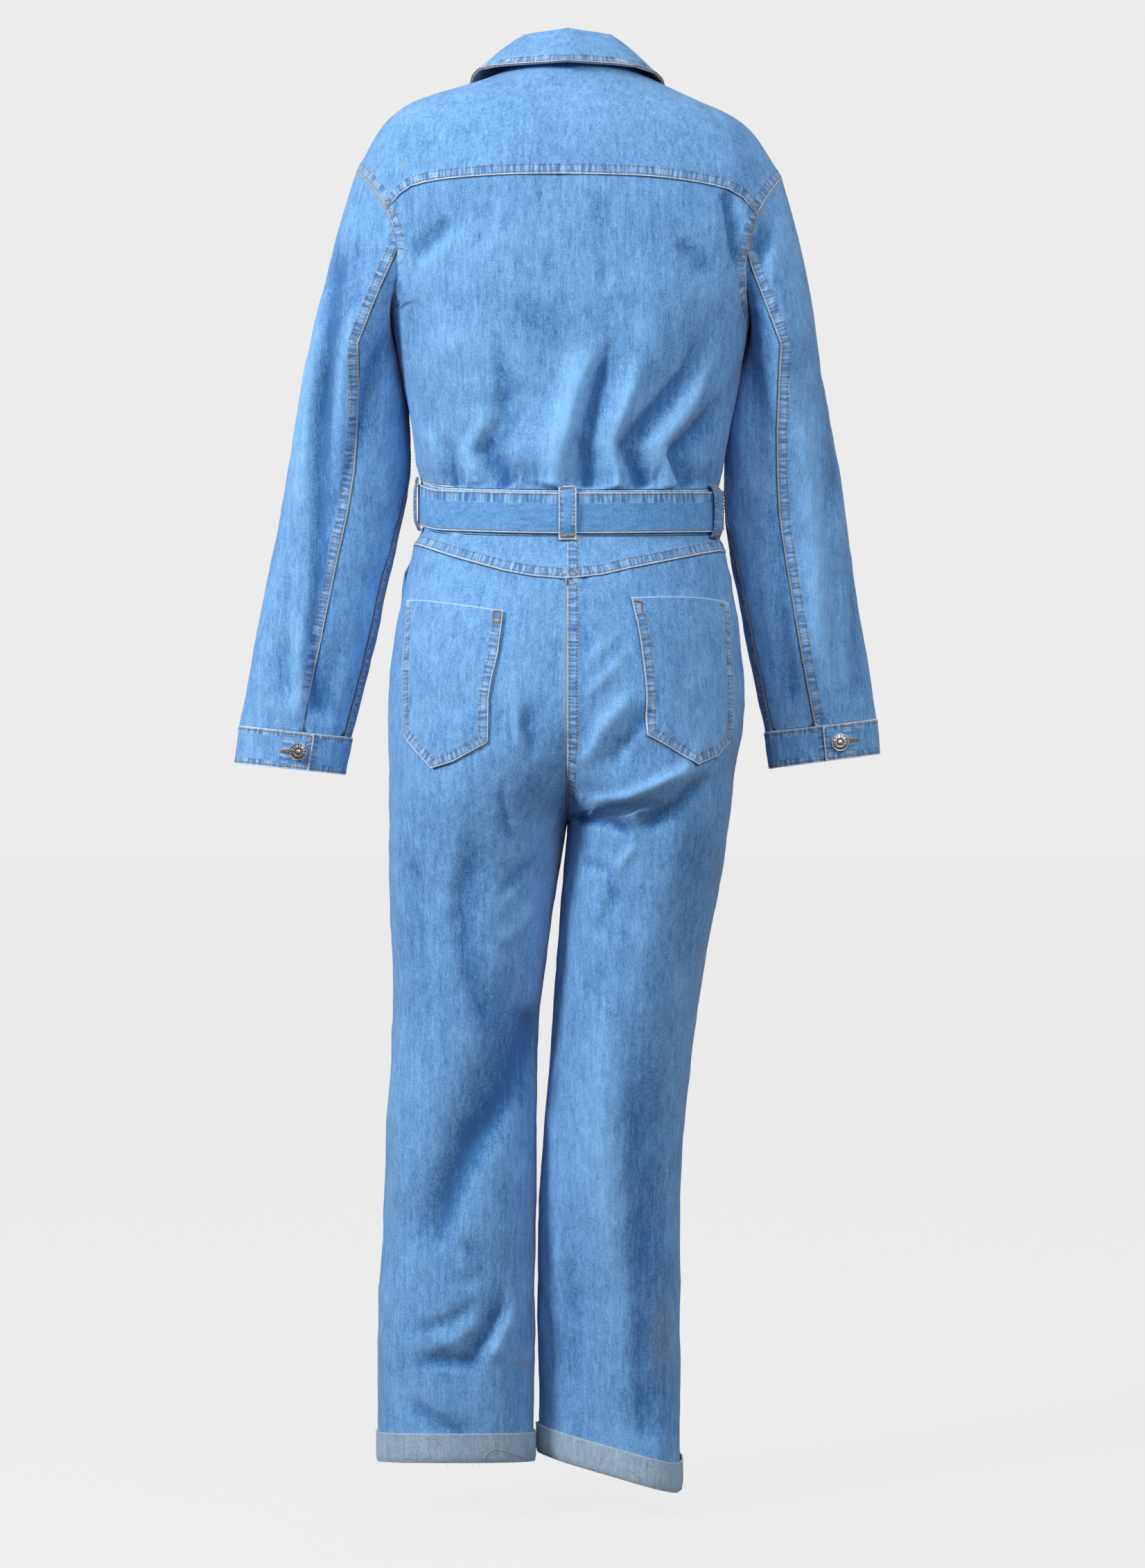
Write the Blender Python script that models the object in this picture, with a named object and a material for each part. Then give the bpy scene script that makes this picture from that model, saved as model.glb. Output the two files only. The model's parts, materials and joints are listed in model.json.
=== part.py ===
# A denim jumpsuit, worn and filled out, hollow and open at the neck, cuffs and hems.
#
# The wearer's back faces -Y and the wearer's right is +X. The origin is at the middle of the neck opening,
# level with the nape, where the shoulders carry the garment. Tables and sizes are in millimetres, and
# every piece is a closed wall of cloth, set a seam gap apart from its neighbours.

import math

import bpy
import numpy as np
from mathutils import Vector
from mathutils.kdtree import KDTree

for old_object in list(bpy.data.objects):
    bpy.data.objects.remove(old_object, do_unlink=True)

# Driving sizes, in millimetres
WALL = 1.6
DOUBLE_WALL = 2.4
SEAM_GAP = 0.4
LAYER_GAP = 0.7
MIDDLE_X = -5.0
WAISTBAND_DEEP = 46.0
BELT_DEEP = 40.0
BAND_TOP = -424.0
BAND_FOOT = -484.0
CROTCH_Z = -765.0
TURN_UP_DEEP = 27.0
CUFF_BUTTON_RADIUS = 8.8
FRONT_BUTTON_RADIUS = 8.5

DENIM = (0.13, 0.33, 0.62)
DARK_DENIM = (0.08, 0.24, 0.50)
WRONG_SIDE = (0.26, 0.41, 0.58)
METAL = (0.62, 0.60, 0.57)


# ---------------------------------------------------------------- curves through the rows of a table

def smooth(rows, column, at):
    """A smooth curve through one column of a table whose first column rises, with no overshoot."""
    xs = np.array([row[0] for row in rows], float)
    ys = np.array([row[column] for row in rows], float)
    steps = np.diff(xs)
    slopes = np.diff(ys) / steps
    ends = np.zeros(len(xs))
    ends[0] = slopes[0]
    ends[-1] = slopes[-1]
    for i in range(1, len(xs) - 1):
        if slopes[i - 1] * slopes[i] > 0:
            before = 2 * steps[i] + steps[i - 1]
            after = steps[i] + 2 * steps[i - 1]
            ends[i] = (before + after) / (before / slopes[i - 1] + after / slopes[i])
    at = min(max(at, xs[0]), xs[-1])
    i = min(int(np.searchsorted(xs, at, side="right")) - 1, len(xs) - 2)
    t = (at - xs[i]) / steps[i]
    rise = ys[i] * (2 * t**3 - 3 * t**2 + 1) + ys[i + 1] * (3 * t**2 - 2 * t**3)
    return rise + steps[i] * (ends[i] * (t**3 - 2 * t**2 + t) + ends[i + 1] * (t**3 - t**2))


def rising(rows):
    return sorted(rows, key=lambda row: row[0])


def ease(t):
    t = min(max(t, 0.0), 1.0)
    return t * t * (3 - 2 * t)


def power(value, exponent):
    return math.copysign(abs(value) ** exponent, value)


# ---------------------------------------------------------------- the body of the garment

# height, left side x, right side x, back y, front y, squareness
BODY = rising([
    (4, -60, 56, -50, 40, 2.0),
    (-9, -68, 64, -58, 50, 2.0),
    (-21, -106, 96, -66, 57, 2.05),
    (-38, -163, 127, -76, 68, 2.1),
    (-45, -181, 145, -80, 73, 2.15),
    (-56, -192, 173, -86, 80, 2.2),
    (-73, -202, 190, -92, 89, 2.25),
    (-91, -211, 203, -96, 96, 2.3),
    (-107, -218, 210, -99, 101, 2.3),
    (-155, -214, 214, -104, 115, 2.3),
    (-200, -203, 204, -107, 124, 2.3),
    (-255, -184, 180, -109, 129, 2.3),
    (-316, -171, 169, -109, 126, 2.25),
    (-352, -164, 162, -108, 120, 2.2),
    (-380, -160, 156, -106, 114, 2.2),
    (-406, -158, 152, -102, 107, 2.2),
    (-420, -153, 149, -97, 102, 2.2),
    (-430, -150, 147, -95, 100, 2.2),
    (-450, -150, 147, -95, 99, 2.2),
    (-472, -152, 147.5, -96, 100, 2.2),
    (-485, -161, 152, -99, 101, 2.2),
    (-500, -168, 158, -105, 104, 2.2),
    (-530, -172, 163, -114, 110, 2.2),
    (-563, -177, 168, -122, 115, 2.2),
    (-600, -184, 172, -128, 117, 2.2),
    (-633, -186, 174, -130, 117, 2.2),
    (-668, -186, 172, -128, 114, 2.2),
    (-703, -185, 165, -122, 110, 2.2),
    (-738, -185, 161, -116, 107, 2.2),
    (CROTCH_Z, -185, 158, -110, 104, 2.2),
])

# Below the crotch each leg is a tube of its own: height, outer x, inner x, back y, front y, yaw in degrees
LEG_LEFT = rising([
    (CROTCH_Z, -185, MIDDLE_X, -110, 104, 0),
    (-810, -186, -13, -99, 98, 0),
    (-870, -183, -22, -90, 88, 0),
    (-960, -181, -33, -84, 77, 0),
    (-1065, -188, -36, -78, 67, 0),
    (-1170, -191, -37, -72, 57, 0),
    (-1275, -197, -38, -63, 46, 0),
    (-1405, -196, -39, -54, 38, 0),
])
LEG_RIGHT = rising([
    (CROTCH_Z, 158, MIDDLE_X, -110, 104, 0),
    (-810, 152, -9, -100, 98, 0),
    (-870, 140, -14, -91, 88, 0),
    (-960, 125, -20, -80, 82, -4),
    (-1065, 114, -29, -69, 79, -10),
    (-1170, 108, -37, -57, 79, -16),
    (-1275, 110, -39, -47, 69, -22),
    (-1420, 112, -40, -40, 54, -28),
])
LEG_SQUARE = 2.2

# The hem's height at the leg's outer and inner side
HEM_LEFT = (-1405, -1405)
HEM_RIGHT = (-1430, -1402)
# How far it rises from the sides to the middle of the back
HEM_RISE = 9

# The largest folds of the back: ends in x and height, half width, depth outwards (a trough is negative)
BACK_FOLDS = [
    (-10, -300, -51, -359, 20, -7),
    (-51, -359, -89, -400, 18, -8),
    (-34, -400, -24, -424, 18, 5),
    (43, -284, 23, -339, 19, -6),
    (23, -339, 13, -410, 18, -8),
    (131, -278, 104, -325, 20, -6),
    (104, -325, 56, -390, 19, -9),
    (80, -300, 34, -378, 18, 5),
    (150, -345, 96, -405, 18, -7),
    (125, -330, 82, -380, 17, 5),
    (-112, -169, -156, -216, 18, -4),
    (97, -190, 138, -223, 18, -4),
    (-130, -300, -150, -400, 18, 4),
    (8, -757, 50, -770, 16, -6),
    (10, -740, 119, -711, 20, 6),
    (119, -711, 146, -690, 18, 4),
    (139, -724, 85, -765, 18, -5),
    (85, -765, 44, -815, 18, -5),
    (57, -649, 18, -724, 17, 5),
    (-96, -738, -104, -842, 20, -4),
    (-31, -943, -79, -1045, 28, -8),
    (-79, -1045, -154, -1216, 28, -8),
    (-165, -1306, -100, -1298, 18, -5),
    (-100, -1298, -72, -1250, 18, -5),
    (-60, -1300, -50, -1230, 17, 5),
    (66, -880, 52, -1080, 22, 5),
    (52, -1080, 62, -1330, 22, 5),
]
# The hidden front has like folds of its own
FRONT_FOLDS = [
    (-130, -300, -80, -400, 16, -8),
    (120, -290, 76, -400, 16, -8),
    (-60, -330, -45, -415, 14, -6),
    (50, -340, 38, -415, 14, -6),
    (-120, -520, -40, -640, 16, -6),
    (110, -520, 32, -640, 16, -6),
    (-20, -700, -120, -745, 14, -6),
    (12, -700, 110, -745, 14, -6),
    (-110, -930, -90, -1150, 24, -6),
    (70, -930, 40, -1150, 24, -6),
    (-165, -1290, -70, -1310, 13, -5),
    (20, -1290, 90, -1310, 13, -5),
]


def fold_depth(folds, x, z):
    """How far the folds move the cloth outwards at x and z."""
    moved = 0.0
    for x0, z0, x1, z1, half_width, depth in folds:
        along_x = x1 - x0
        along_z = z1 - z0
        share = ((x - x0) * along_x + (z - z0) * along_z) / (along_x**2 + along_z**2)
        share = min(max(share, 0.0), 1.0)
        away = math.hypot(x - x0 - share * along_x, z - z0 - share * along_z)
        moved += depth * math.exp(-(away / half_width) ** 2)
    return moved


def ring_point(angle, middle, across, back, front, square):
    """A point of a closed oval section and its outward direction. Angle 0 is the side that `across`
    points to, 90 is the front, 270 is the back."""
    turned = math.radians(angle)
    cos, sin = math.cos(turned), math.sin(turned)
    deep = front if sin > 0 else -back
    point = Vector((middle + across * power(cos, 2 / square), deep * power(sin, 2 / square), 0))
    out = Vector((power(cos, 2 - 2 / square) / across, power(sin, 2 - 2 / square) / deep, 0))
    return point, out.normalized()


def folded(point, out):
    """The point after the folds of its side, which fade out towards the sides and under the belt."""
    folds = BACK_FOLDS if out.y < 0 else FRONT_FOLDS
    middle = (BAND_TOP + BAND_FOOT) / 2
    clear = ease((abs(point.z - middle) - (BAND_TOP - BAND_FOOT) / 2) / 12)
    moved = fold_depth(folds, point.x, point.z) * min(1.0, abs(out.y) * 1.3) * clear
    return point + Vector((0, math.copysign(moved, moved * out.y), 0))


def plain_body(turn, z):
    """A point of the bodice and hips before its folds, and the way out.

    Turn 0 is the right side, 90 the front, 180 the left and 270 the back.
    """
    half = smooth(BODY, 2, z) - MIDDLE_X
    if 90 < turn % 360 < 270:
        half = MIDDLE_X - smooth(BODY, 1, z)
    shape = [smooth(BODY, column, z) for column in (3, 4, 5)]
    point, out = ring_point(turn, MIDDLE_X, half, *shape)
    point.z = z
    return point, out


def body_point(turn, z):
    return folded(*plain_body(turn, z))


def leg_point(side, angle, z):
    """A point of one leg. Angle 0 is the leg's outer side, 90 the front, 180 the inner side, 270 the back.
    Above the crotch the two legs' sections meet at the middle of the body."""
    table = LEG_LEFT if side < 0 else LEG_RIGHT
    if z > CROTCH_Z:
        outer = smooth(BODY, 1 if side < 0 else 2, z)
        inner = MIDDLE_X + crotch_share(z) * (MIDDLE_X - outer)
        back, front, square = (smooth(BODY, column, z) for column in (3, 4, 5))
        yaw = 0.0
    else:
        outer, inner, back, front, yaw = (smooth(table, column, z) for column in range(1, 6))
        square = LEG_SQUARE
    middle = (outer + inner) / 2
    point, out = ring_point(angle, middle, (outer - inner) / 2, back, front, square)
    centre = Vector((middle, 0, 0))
    spin = math.radians(yaw)
    turned = point - centre
    point = centre + Vector((
        turned.x * math.cos(spin) - turned.y * math.sin(spin),
        turned.x * math.sin(spin) + turned.y * math.cos(spin),
        0,
    ))
    out = Vector((
        out.x * math.cos(spin) - out.y * math.sin(spin),
        out.x * math.sin(spin) + out.y * math.cos(spin),
        0,
    ))
    point.z = z
    return folded(point, out)


def crotch_share(z):
    """1 where the hips are one ring, 0 at the crotch, where the seat seam reaches the inseam."""
    low, high = CROTCH_Z, -640.0
    t = min(max((z - low) / (high - low), 0.0), 1.0)
    return t**1.5


def seat_angle(z):
    """The angle, from the outer side, at which a leg's section meets the middle of the body."""
    if z <= CROTCH_Z:
        return 180.0
    share = crotch_share(z)
    square = smooth(BODY, 5, z)
    ratio = (1 - share) / (1 + share)
    return math.degrees(math.acos(-(ratio ** (square / 2))))


# ---------------------------------------------------------------- lines that the panels share

# The back yoke seam: x, height
YOKE_SEAM = [(-181, -155), (-164, -136), (-112, -129), (-35, -127), (52, -128), (150, -137), (182, -153)]
# The seam above the waistband, by turn round the body: turn, height
WAIST_SEAM = [(0, -425), (90, -424), (180, -419), (215, -430), (270, -436), (325, -432), (360, -425)]
# The V seam of the trousers' back yoke: x, height
RISER_SEAM = [(-166, -484), (-99, -506), (-40, -521), (-3, -524), (65, -511), (154, -491)]
# The neckline from the end of the shoulder seam to the middle of the front: distance from the middle, height
FRONT_NECK = [(57, -6), (52, -24), (42, -42), (27, -57), (12, -67), (0, -70)]

ARMHOLE_MIDDLE_Z = -181.0
ARMHOLE_HALF_HIGH = 74.0
ARMHOLE_HALF_DEEP = 66.0
RIGHT_ARMHOLE_DROP = 6.0
SHOULDER_SEAM_ANGLE = 345.0
YOKE_END_ANGLE = 69.5
BACK_SLEEVE_SEAM_ANGLE = 97.0
UNDERARM_ANGLE = 180.0

ARM_YOKE_FRONT = [SHOULDER_SEAM_ANGLE, 360.0]
ARM_YOKE_BACK = list(np.linspace(0, YOKE_END_ANGLE, 6))
ARM_BACK = list(np.linspace(YOKE_END_ANGLE, BACK_SLEEVE_SEAM_ANGLE, 3))
ARM_BACK += list(np.linspace(BACK_SLEEVE_SEAM_ANGLE, UNDERARM_ANGLE, 7))[1:]
ARM_FRONT = list(np.linspace(UNDERARM_ANGLE, SHOULDER_SEAM_ANGLE, 9))


def turn_at_x(x, z, back):
    """The turn at which the section at height z passes x on its back or front."""
    half = smooth(BODY, 2, z) - MIDDLE_X if x > MIDDLE_X else MIDDLE_X - smooth(BODY, 1, z)
    ratio = min(abs(x - MIDDLE_X) / half, 1.0)
    cos = math.copysign(ratio ** (smooth(BODY, 5, z) / 2), x - MIDDLE_X)
    turn = math.degrees(math.acos(cos))
    return 360 - turn if back else turn


def turn_at_y(y, z, side):
    """The turn at which the section at height z passes y, near the left (-1) or right (1) side."""
    deep = smooth(BODY, 4, z) if y > 0 else -smooth(BODY, 3, z)
    sin = power(y / deep, smooth(BODY, 5, z) / 2)
    turn = math.degrees(math.asin(sin))
    return 180 - turn if side < 0 else turn


def armhole(side, angle):
    """Turn and height on the armhole. Angle 0 is its top, 90 its back, 180 the underarm, 270 its front."""
    turned = math.radians(angle)
    z = ARMHOLE_MIDDLE_Z + ARMHOLE_HALF_HIGH * math.cos(turned)
    z -= RIGHT_ARMHOLE_DROP if side > 0 else 0
    turn = turn_at_y(-ARMHOLE_HALF_DEEP * math.sin(turned), z, side)
    return (turn, z)


def resample(line, count):
    """A polyline of pairs, walked smoothly in even steps."""
    line = np.array(line, float)
    walked = np.concatenate([[0], np.cumsum(np.hypot(*np.diff(line, axis=0).T))])
    rows = [(walked[i], line[i][0], line[i][1]) for i in range(len(line))]
    steps = np.linspace(0, walked[-1], count + 1)
    return [(smooth(rows, 1, s), smooth(rows, 2, s)) for s in steps]


def yoke_seam(count):
    """The yoke seam from the left armhole to the right one, as turn and height."""
    line = []
    for x, z in resample(YOKE_SEAM, count):
        line.append((turn_at_x(x, z, back=True), z))
    left = armhole(-1, YOKE_END_ANGLE)
    right = armhole(1, YOKE_END_ANGLE)
    line[0] = left
    line[-1] = (right[0] + 360, right[1])
    return line


def waist_height(turn):
    return smooth(WAIST_SEAM, 1, turn % 360)


def shoulder_seam(side, count):
    """The shoulder seam from the armhole to the neck, as turn and height, in even steps across."""
    arm_turn, arm_z = armhole(side, SHOULDER_SEAM_ANGLE)
    arm_point = body_point(arm_turn, arm_z)
    neck_x = MIDDLE_X + side * FRONT_NECK[0][0]
    line = [(arm_turn, arm_z)]
    for i in range(1, count):
        share = i / count
        x = arm_point.x + (neck_x - arm_point.x) * share
        y = arm_point.y + 3 * share
        line.append(shoulder_turn(x, y, side))
    neck_z = FRONT_NECK[0][1]
    line.append((turn_at_x(neck_x, neck_z, back=False), neck_z))
    return line


def shoulder_turn(x, y, side):
    """Turn and height of the shoulder above x and y, found by halving the range of heights."""
    low, high = -150.0, -4.0
    for _ in range(40):
        z = (low + high) / 2
        reach = body_point(turn_at_y(y, z, side), z).x
        if abs(reach - MIDDLE_X) > abs(x - MIDDLE_X):
            low = z
        else:
            high = z
    return (turn_at_y(y, z, side), z)


def front_neckline(side, count):
    """The neckline from the shoulder seam to the middle of the front, as turn and height."""
    line = []
    for across, z in resample(FRONT_NECK, count):
        line.append((turn_at_x(MIDDLE_X + side * across, z, back=False), z))
    return line


def back_neckline(count):
    """The neckline round the nape, from the left shoulder seam to the right one."""
    left_turn, left_z = front_neckline(-1, 1)[0]
    right_turn, right_z = front_neckline(1, 1)[0]
    line = []
    for i in range(count + 1):
        share = i / count
        turn = left_turn + (right_turn + 360 - left_turn) * share
        lift = math.sin(math.pi * share) ** 1.5
        line.append((turn, left_z + (right_z - left_z) * share + 6 * lift))
    return line


# ---------------------------------------------------------------- from grids of points to walls of cloth

def patch(bottom, top, left, right):
    """A grid of points between four boundary lines: rows run from bottom to top."""
    bottom, top = np.array(bottom), np.array(top)
    left, right = np.array(left), np.array(right)
    columns, rows = len(bottom), len(left)
    grid = np.zeros((rows, columns, bottom.shape[1]))
    for j in range(rows):
        v = j / (rows - 1)
        for i in range(columns):
            u = i / (columns - 1)
            sides = (1 - u) * left[j] + u * right[j]
            ends = (1 - v) * bottom[i] + v * top[i]
            corners = (1 - u) * (1 - v) * bottom[0] + u * (1 - v) * bottom[-1]
            corners = corners + (1 - u) * v * top[0] + u * v * top[-1]
            grid[j, i] = sides + ends - corners
    return grid


def placed(grid, place):
    """The grid's points on the garment."""
    rows, columns = grid.shape[:2]
    points = np.zeros((rows, columns, 3))
    for j in range(rows):
        for i in range(columns):
            points[j, i] = place(*grid[j, i])
    return points


def nearest_on_body(turn, z, target):
    """Turn and height of the body's point nearest to a target, walked to from a first guess."""
    at = np.array([turn, z])
    for _ in range(10):
        here = np.array(plain_body(*at)[0])
        across = (np.array(plain_body(at[0] + 0.5, at[1])[0]) - here) / 0.5
        along = (np.array(plain_body(at[0], at[1] - 0.5)[0]) - here) / -0.5
        slopes = np.stack([across, along], axis=1)
        step = np.linalg.lstsq(slopes, target - here, rcond=None)[0]
        at += np.clip(step, -15, 15) * 0.8
    return at


def spread_on_body(bottom, top, left, right):
    """A patch whose points are spread evenly over the body, and not only in turn and height."""
    grid = patch(bottom, top, left, right)
    points = placed(grid, body_point)
    target = patch(points[0], points[-1], points[:, 0], points[:, -1])
    for j in range(1, len(points) - 1):
        for i in range(1, len(points[0]) - 1):
            points[j, i] = body_point(*nearest_on_body(*grid[j, i], target[j, i]))
    return points


def grid_normals(points, closed=False):
    """Unit normals of a grid, from the run of its rows and columns."""
    across = np.gradient(points, axis=1)
    if closed:
        across = np.roll(points, -1, axis=1) - np.roll(points, 1, axis=1)
    along = np.gradient(points, axis=0)
    normals = np.cross(across, along)
    return normals / np.linalg.norm(normals, axis=2, keepdims=True)


def drawn_in(points, normals, distance):
    """The grid with each edge moved in by the distance, square to the edge, in the cloth's own surface."""
    moved = points.copy()
    edges = (
        (np.s_[0, :], np.s_[1, :]),
        (np.s_[-1, :], np.s_[-2, :]),
        (np.s_[:, 0], np.s_[:, 1]),
        (np.s_[:, -1], np.s_[:, -2]),
    )
    for edge, inside in edges:
        run = np.gradient(points[edge], axis=0)
        run /= np.linalg.norm(run, axis=1, keepdims=True)
        inward = points[inside] - points[edge]
        for direction in (run, normals[edge]):
            inward = inward - direction * np.sum(inward * direction, axis=1, keepdims=True)
        inward /= np.linalg.norm(inward, axis=1, keepdims=True)
        moved[edge] += inward * distance
    return moved


def material(name, colour, roughness, metallic=0.0):
    found = bpy.data.materials.get(name)
    if found:
        return found
    made = bpy.data.materials.new(name)
    made.use_nodes = True
    shader = made.node_tree.nodes["Principled BSDF"]
    shader.inputs["Base Color"].default_value = (*colour, 1)
    shader.inputs["Roughness"].default_value = roughness
    shader.inputs["Metallic"].default_value = metallic
    return made


def denim():
    return material("denim", DENIM, 0.85)


def make_object(name, vertices, faces, finish):
    mesh = bpy.data.meshes.new(name)
    mesh.from_pydata([tuple(v * 0.001 for v in vertex) for vertex in vertices], [], faces)
    mesh.validate()
    mesh.materials.append(finish)
    made = bpy.data.objects.new(name, mesh)
    bpy.context.scene.collection.objects.link(made)
    volume = sum(p.area * p.center.dot(p.normal) for p in mesh.polygons)
    if volume < 0:
        mesh.flip_normals()
    mesh.shade_smooth()
    mesh.set_sharp_from_angle(angle=math.radians(60))
    return made


def wall_object(name, outer, inner, finish, closed=False):
    """A closed wall between an outer and an inner grid. A closed grid's last column meets its first."""
    rows, columns = outer.shape[:2]
    vertices = np.concatenate([outer.reshape(-1, 3), inner.reshape(-1, 3)])
    across = columns if closed else columns - 1
    count = rows * columns
    faces = []

    def index(j, i, layer):
        return layer * count + j * columns + i % columns

    for j in range(rows - 1):
        for i in range(across):
            quad = [index(j, i, 0), index(j, i + 1, 0), index(j + 1, i + 1, 0), index(j + 1, i, 0)]
            faces.append(quad)
            faces.append([vertex + count for vertex in reversed(quad)])
    for i in range(across):
        faces.append([index(0, i + 1, 0), index(0, i, 0), index(0, i, 1), index(0, i + 1, 1)])
        faces.append([index(rows - 1, i, 0), index(rows - 1, i + 1, 0),
                      index(rows - 1, i + 1, 1), index(rows - 1, i, 1)])
    if not closed:
        for j in range(rows - 1):
            faces.append([index(j, 0, 0), index(j + 1, 0, 0), index(j + 1, 0, 1), index(j, 0, 1)])
            faces.append([index(j + 1, columns - 1, 0), index(j, columns - 1, 0),
                          index(j, columns - 1, 1), index(j + 1, columns - 1, 1)])
    return make_object(name, vertices, faces, finish)


skins = {}


def skin(name, points):
    """Keeps a panel's grid until all its neighbours are known. Rows and columns are ordered so that
    the grid's normals point out of the garment."""
    skins[name] = {"points": points, "normals": grid_normals(points)}


def join_normals():
    """Gives the points that panels share one normal, so that the two walls of a seam stay parallel."""
    total = sum(panel["points"].shape[0] * panel["points"].shape[1] for panel in skins.values())
    tree = KDTree(total)
    known = []
    for panel in skins.values():
        for point, normal in zip(panel["points"].reshape(-1, 3), panel["normals"].reshape(-1, 3)):
            tree.insert(Vector(point), len(known))
            known.append(normal)
    tree.balance()
    for panel in skins.values():
        points = panel["points"]
        shared = np.zeros_like(points)
        for j in range(points.shape[0]):
            for i in range(points.shape[1]):
                near = [known[found[1]] for found in tree.find_range(Vector(points[j, i]), 0.8)]
                own = panel["normals"][j, i]
                shared[j, i] = sum(normal for normal in near if np.dot(normal, own) > 0.4)
        panel["joined"] = shared / np.linalg.norm(shared, axis=2, keepdims=True)
    for panel in skins.values():
        panel["normals"] = panel["joined"]


def build_skins():
    for name, panel in skins.items():
        outer = drawn_in(panel["points"], panel["normals"], SEAM_GAP / 2)
        inner = outer - panel["normals"] * WALL
        panel["outer"] = outer
        wall_object(name, outer, inner, denim())


# ---------------------------------------------------------------- the bodice

SEAM_COLUMNS = 24
SHOULDER_STEPS = 6
NECK_STEPS = 5
SIDE_STEPS = 9


def side_seam(turn, count):
    """The side seam from the waist to the underarm."""
    bottom = waist_height(turn)
    side = -1 if turn == 180 else 1
    top = armhole(side, UNDERARM_ANGLE)[1]
    return [(turn, bottom + (top - bottom) * i / count) for i in range(count + 1)]


def unwrapped(line, near):
    """Turns written within half a circle of a given turn."""
    return [((turn - near + 180) % 360 + near - 180, z) for turn, z in line]


def back_panel():
    left = side_seam(180, SIDE_STEPS) + [armhole(-1, a) for a in reversed(ARM_BACK[:-1])]
    right = side_seam(0, SIDE_STEPS) + [armhole(1, a) for a in reversed(ARM_BACK[:-1])]
    left, right = unwrapped(left, 220), unwrapped(right, 320)
    top = yoke_seam(SEAM_COLUMNS)
    bottom = [(180 + 180 * i / SEAM_COLUMNS, waist_height(180 + 180 * i / SEAM_COLUMNS))
              for i in range(SEAM_COLUMNS + 1)]
    bottom[-1] = (360, waist_height(0))
    left[-1], right[-1] = top[0], top[-1]
    skin("back_panel", spread_on_body(bottom, top, left, right))


def yoke_back():
    angles = ARM_YOKE_FRONT[:1] + ARM_YOKE_BACK
    left_arm = unwrapped([armhole(-1, a) for a in angles], 180)
    right_arm = unwrapped([armhole(1, a) for a in reversed(angles)], 360)
    seam = yoke_seam(SEAM_COLUMNS)
    bottom = left_arm[:-1] + seam + right_arm[1:]
    top = back_neckline(len(bottom) - 1)
    left = unwrapped(shoulder_seam(-1, SHOULDER_STEPS), 180)
    right = unwrapped(shoulder_seam(1, SHOULDER_STEPS), 360)
    top[0], top[-1] = left[-1], right[-1]
    skin("yoke_back", spread_on_body(bottom, top, left, right))


def front_panel(side):
    name = "front_left" if side < 0 else "front_right"
    turn = 180 if side < 0 else 0
    arm = [armhole(side, a) for a in ARM_FRONT]
    outer = side_seam(turn, SIDE_STEPS) + unwrapped(arm, turn)[1:]
    top = shoulder_seam(side, SHOULDER_STEPS)
    top = unwrapped(top, turn)[:-1] + front_neckline(side, NECK_STEPS)
    count = len(top) - 1
    bottom = [(turn + (90 - turn) * i / count, waist_height(turn + (90 - turn) * i / count))
              for i in range(count + 1)]
    centre_low, centre_high = bottom[-1][1], top[-1][1]
    rows = len(outer) - 1
    centre = [(90, centre_low + (centre_high - centre_low) * j / rows) for j in range(rows + 1)]
    points = spread_on_body(bottom, top, outer, centre)
    if side < 0:
        points = points[:, ::-1]
    skin(name, points)


# ---------------------------------------------------------------- the sleeves

# Sections down the sleeve: share of its length, outer x and z, inner x and z, back y, front y
SLEEVE_LEFT = [
    (0.0, -263, -283, -176.5, -290, -55, 82),
    (0.12, -274, -328, -168.5, -333, -38, 94),
    (0.31, -289, -398, -164, -406, -26, 98),
    (0.45, -299, -452, -173, -460, -20, 94),
    (0.58, -309, -500, -185, -510, -16, 90),
    (0.84, -328, -600, -206, -612, -9, 80),
    (1.0, -340, -664.5, -225, -677, -1, 70),
]
SLEEVE_RIGHT = [
    (0.0, 249, -283, 175, -290, -55, 82),
    (0.12, 258, -328, 167, -333, -38, 94),
    (0.31, 273, -398, 154, -406, -26, 98),
    (0.45, 280, -452, 153.5, -460, -20, 94),
    (0.58, 286, -500, 163, -510, -16, 90),
    (0.84, 302, -600, 182, -612, -9, 80),
    (1.0, 311, -658, 196, -671.5, -1, 70),
]
CUFF_LEFT = [(0.0, -340, -665, -225, -677.5, -2, 71), (1.0, -344, -703.5, -232, -715, -1, 69)]
CUFF_RIGHT = [(0.0, 311, -658.5, 196, -672, -2, 71), (1.0, 313, -694, 201, -709, -1, 69)]
SLEEVE_SQUARE = 2.2
# The sleeve's edge is turned under the bodice's, so it starts this far outside the armhole
ARMHOLE_STEP = 0.5
SLEEVE_ROWS = 13
CAP_ROWS = 4
SLEEVE_SEAM_LOW = 150.0
# Long soft folds down a sleeve: angle, half width in degrees, from and to share of length, depth
SLEEVE_FOLDS = [(62, 16, 0.0, 0.95, -4.5), (118, 14, 0.0, 0.5, -4.0), (250, 18, 0.1, 0.9, -4.0)]


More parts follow.
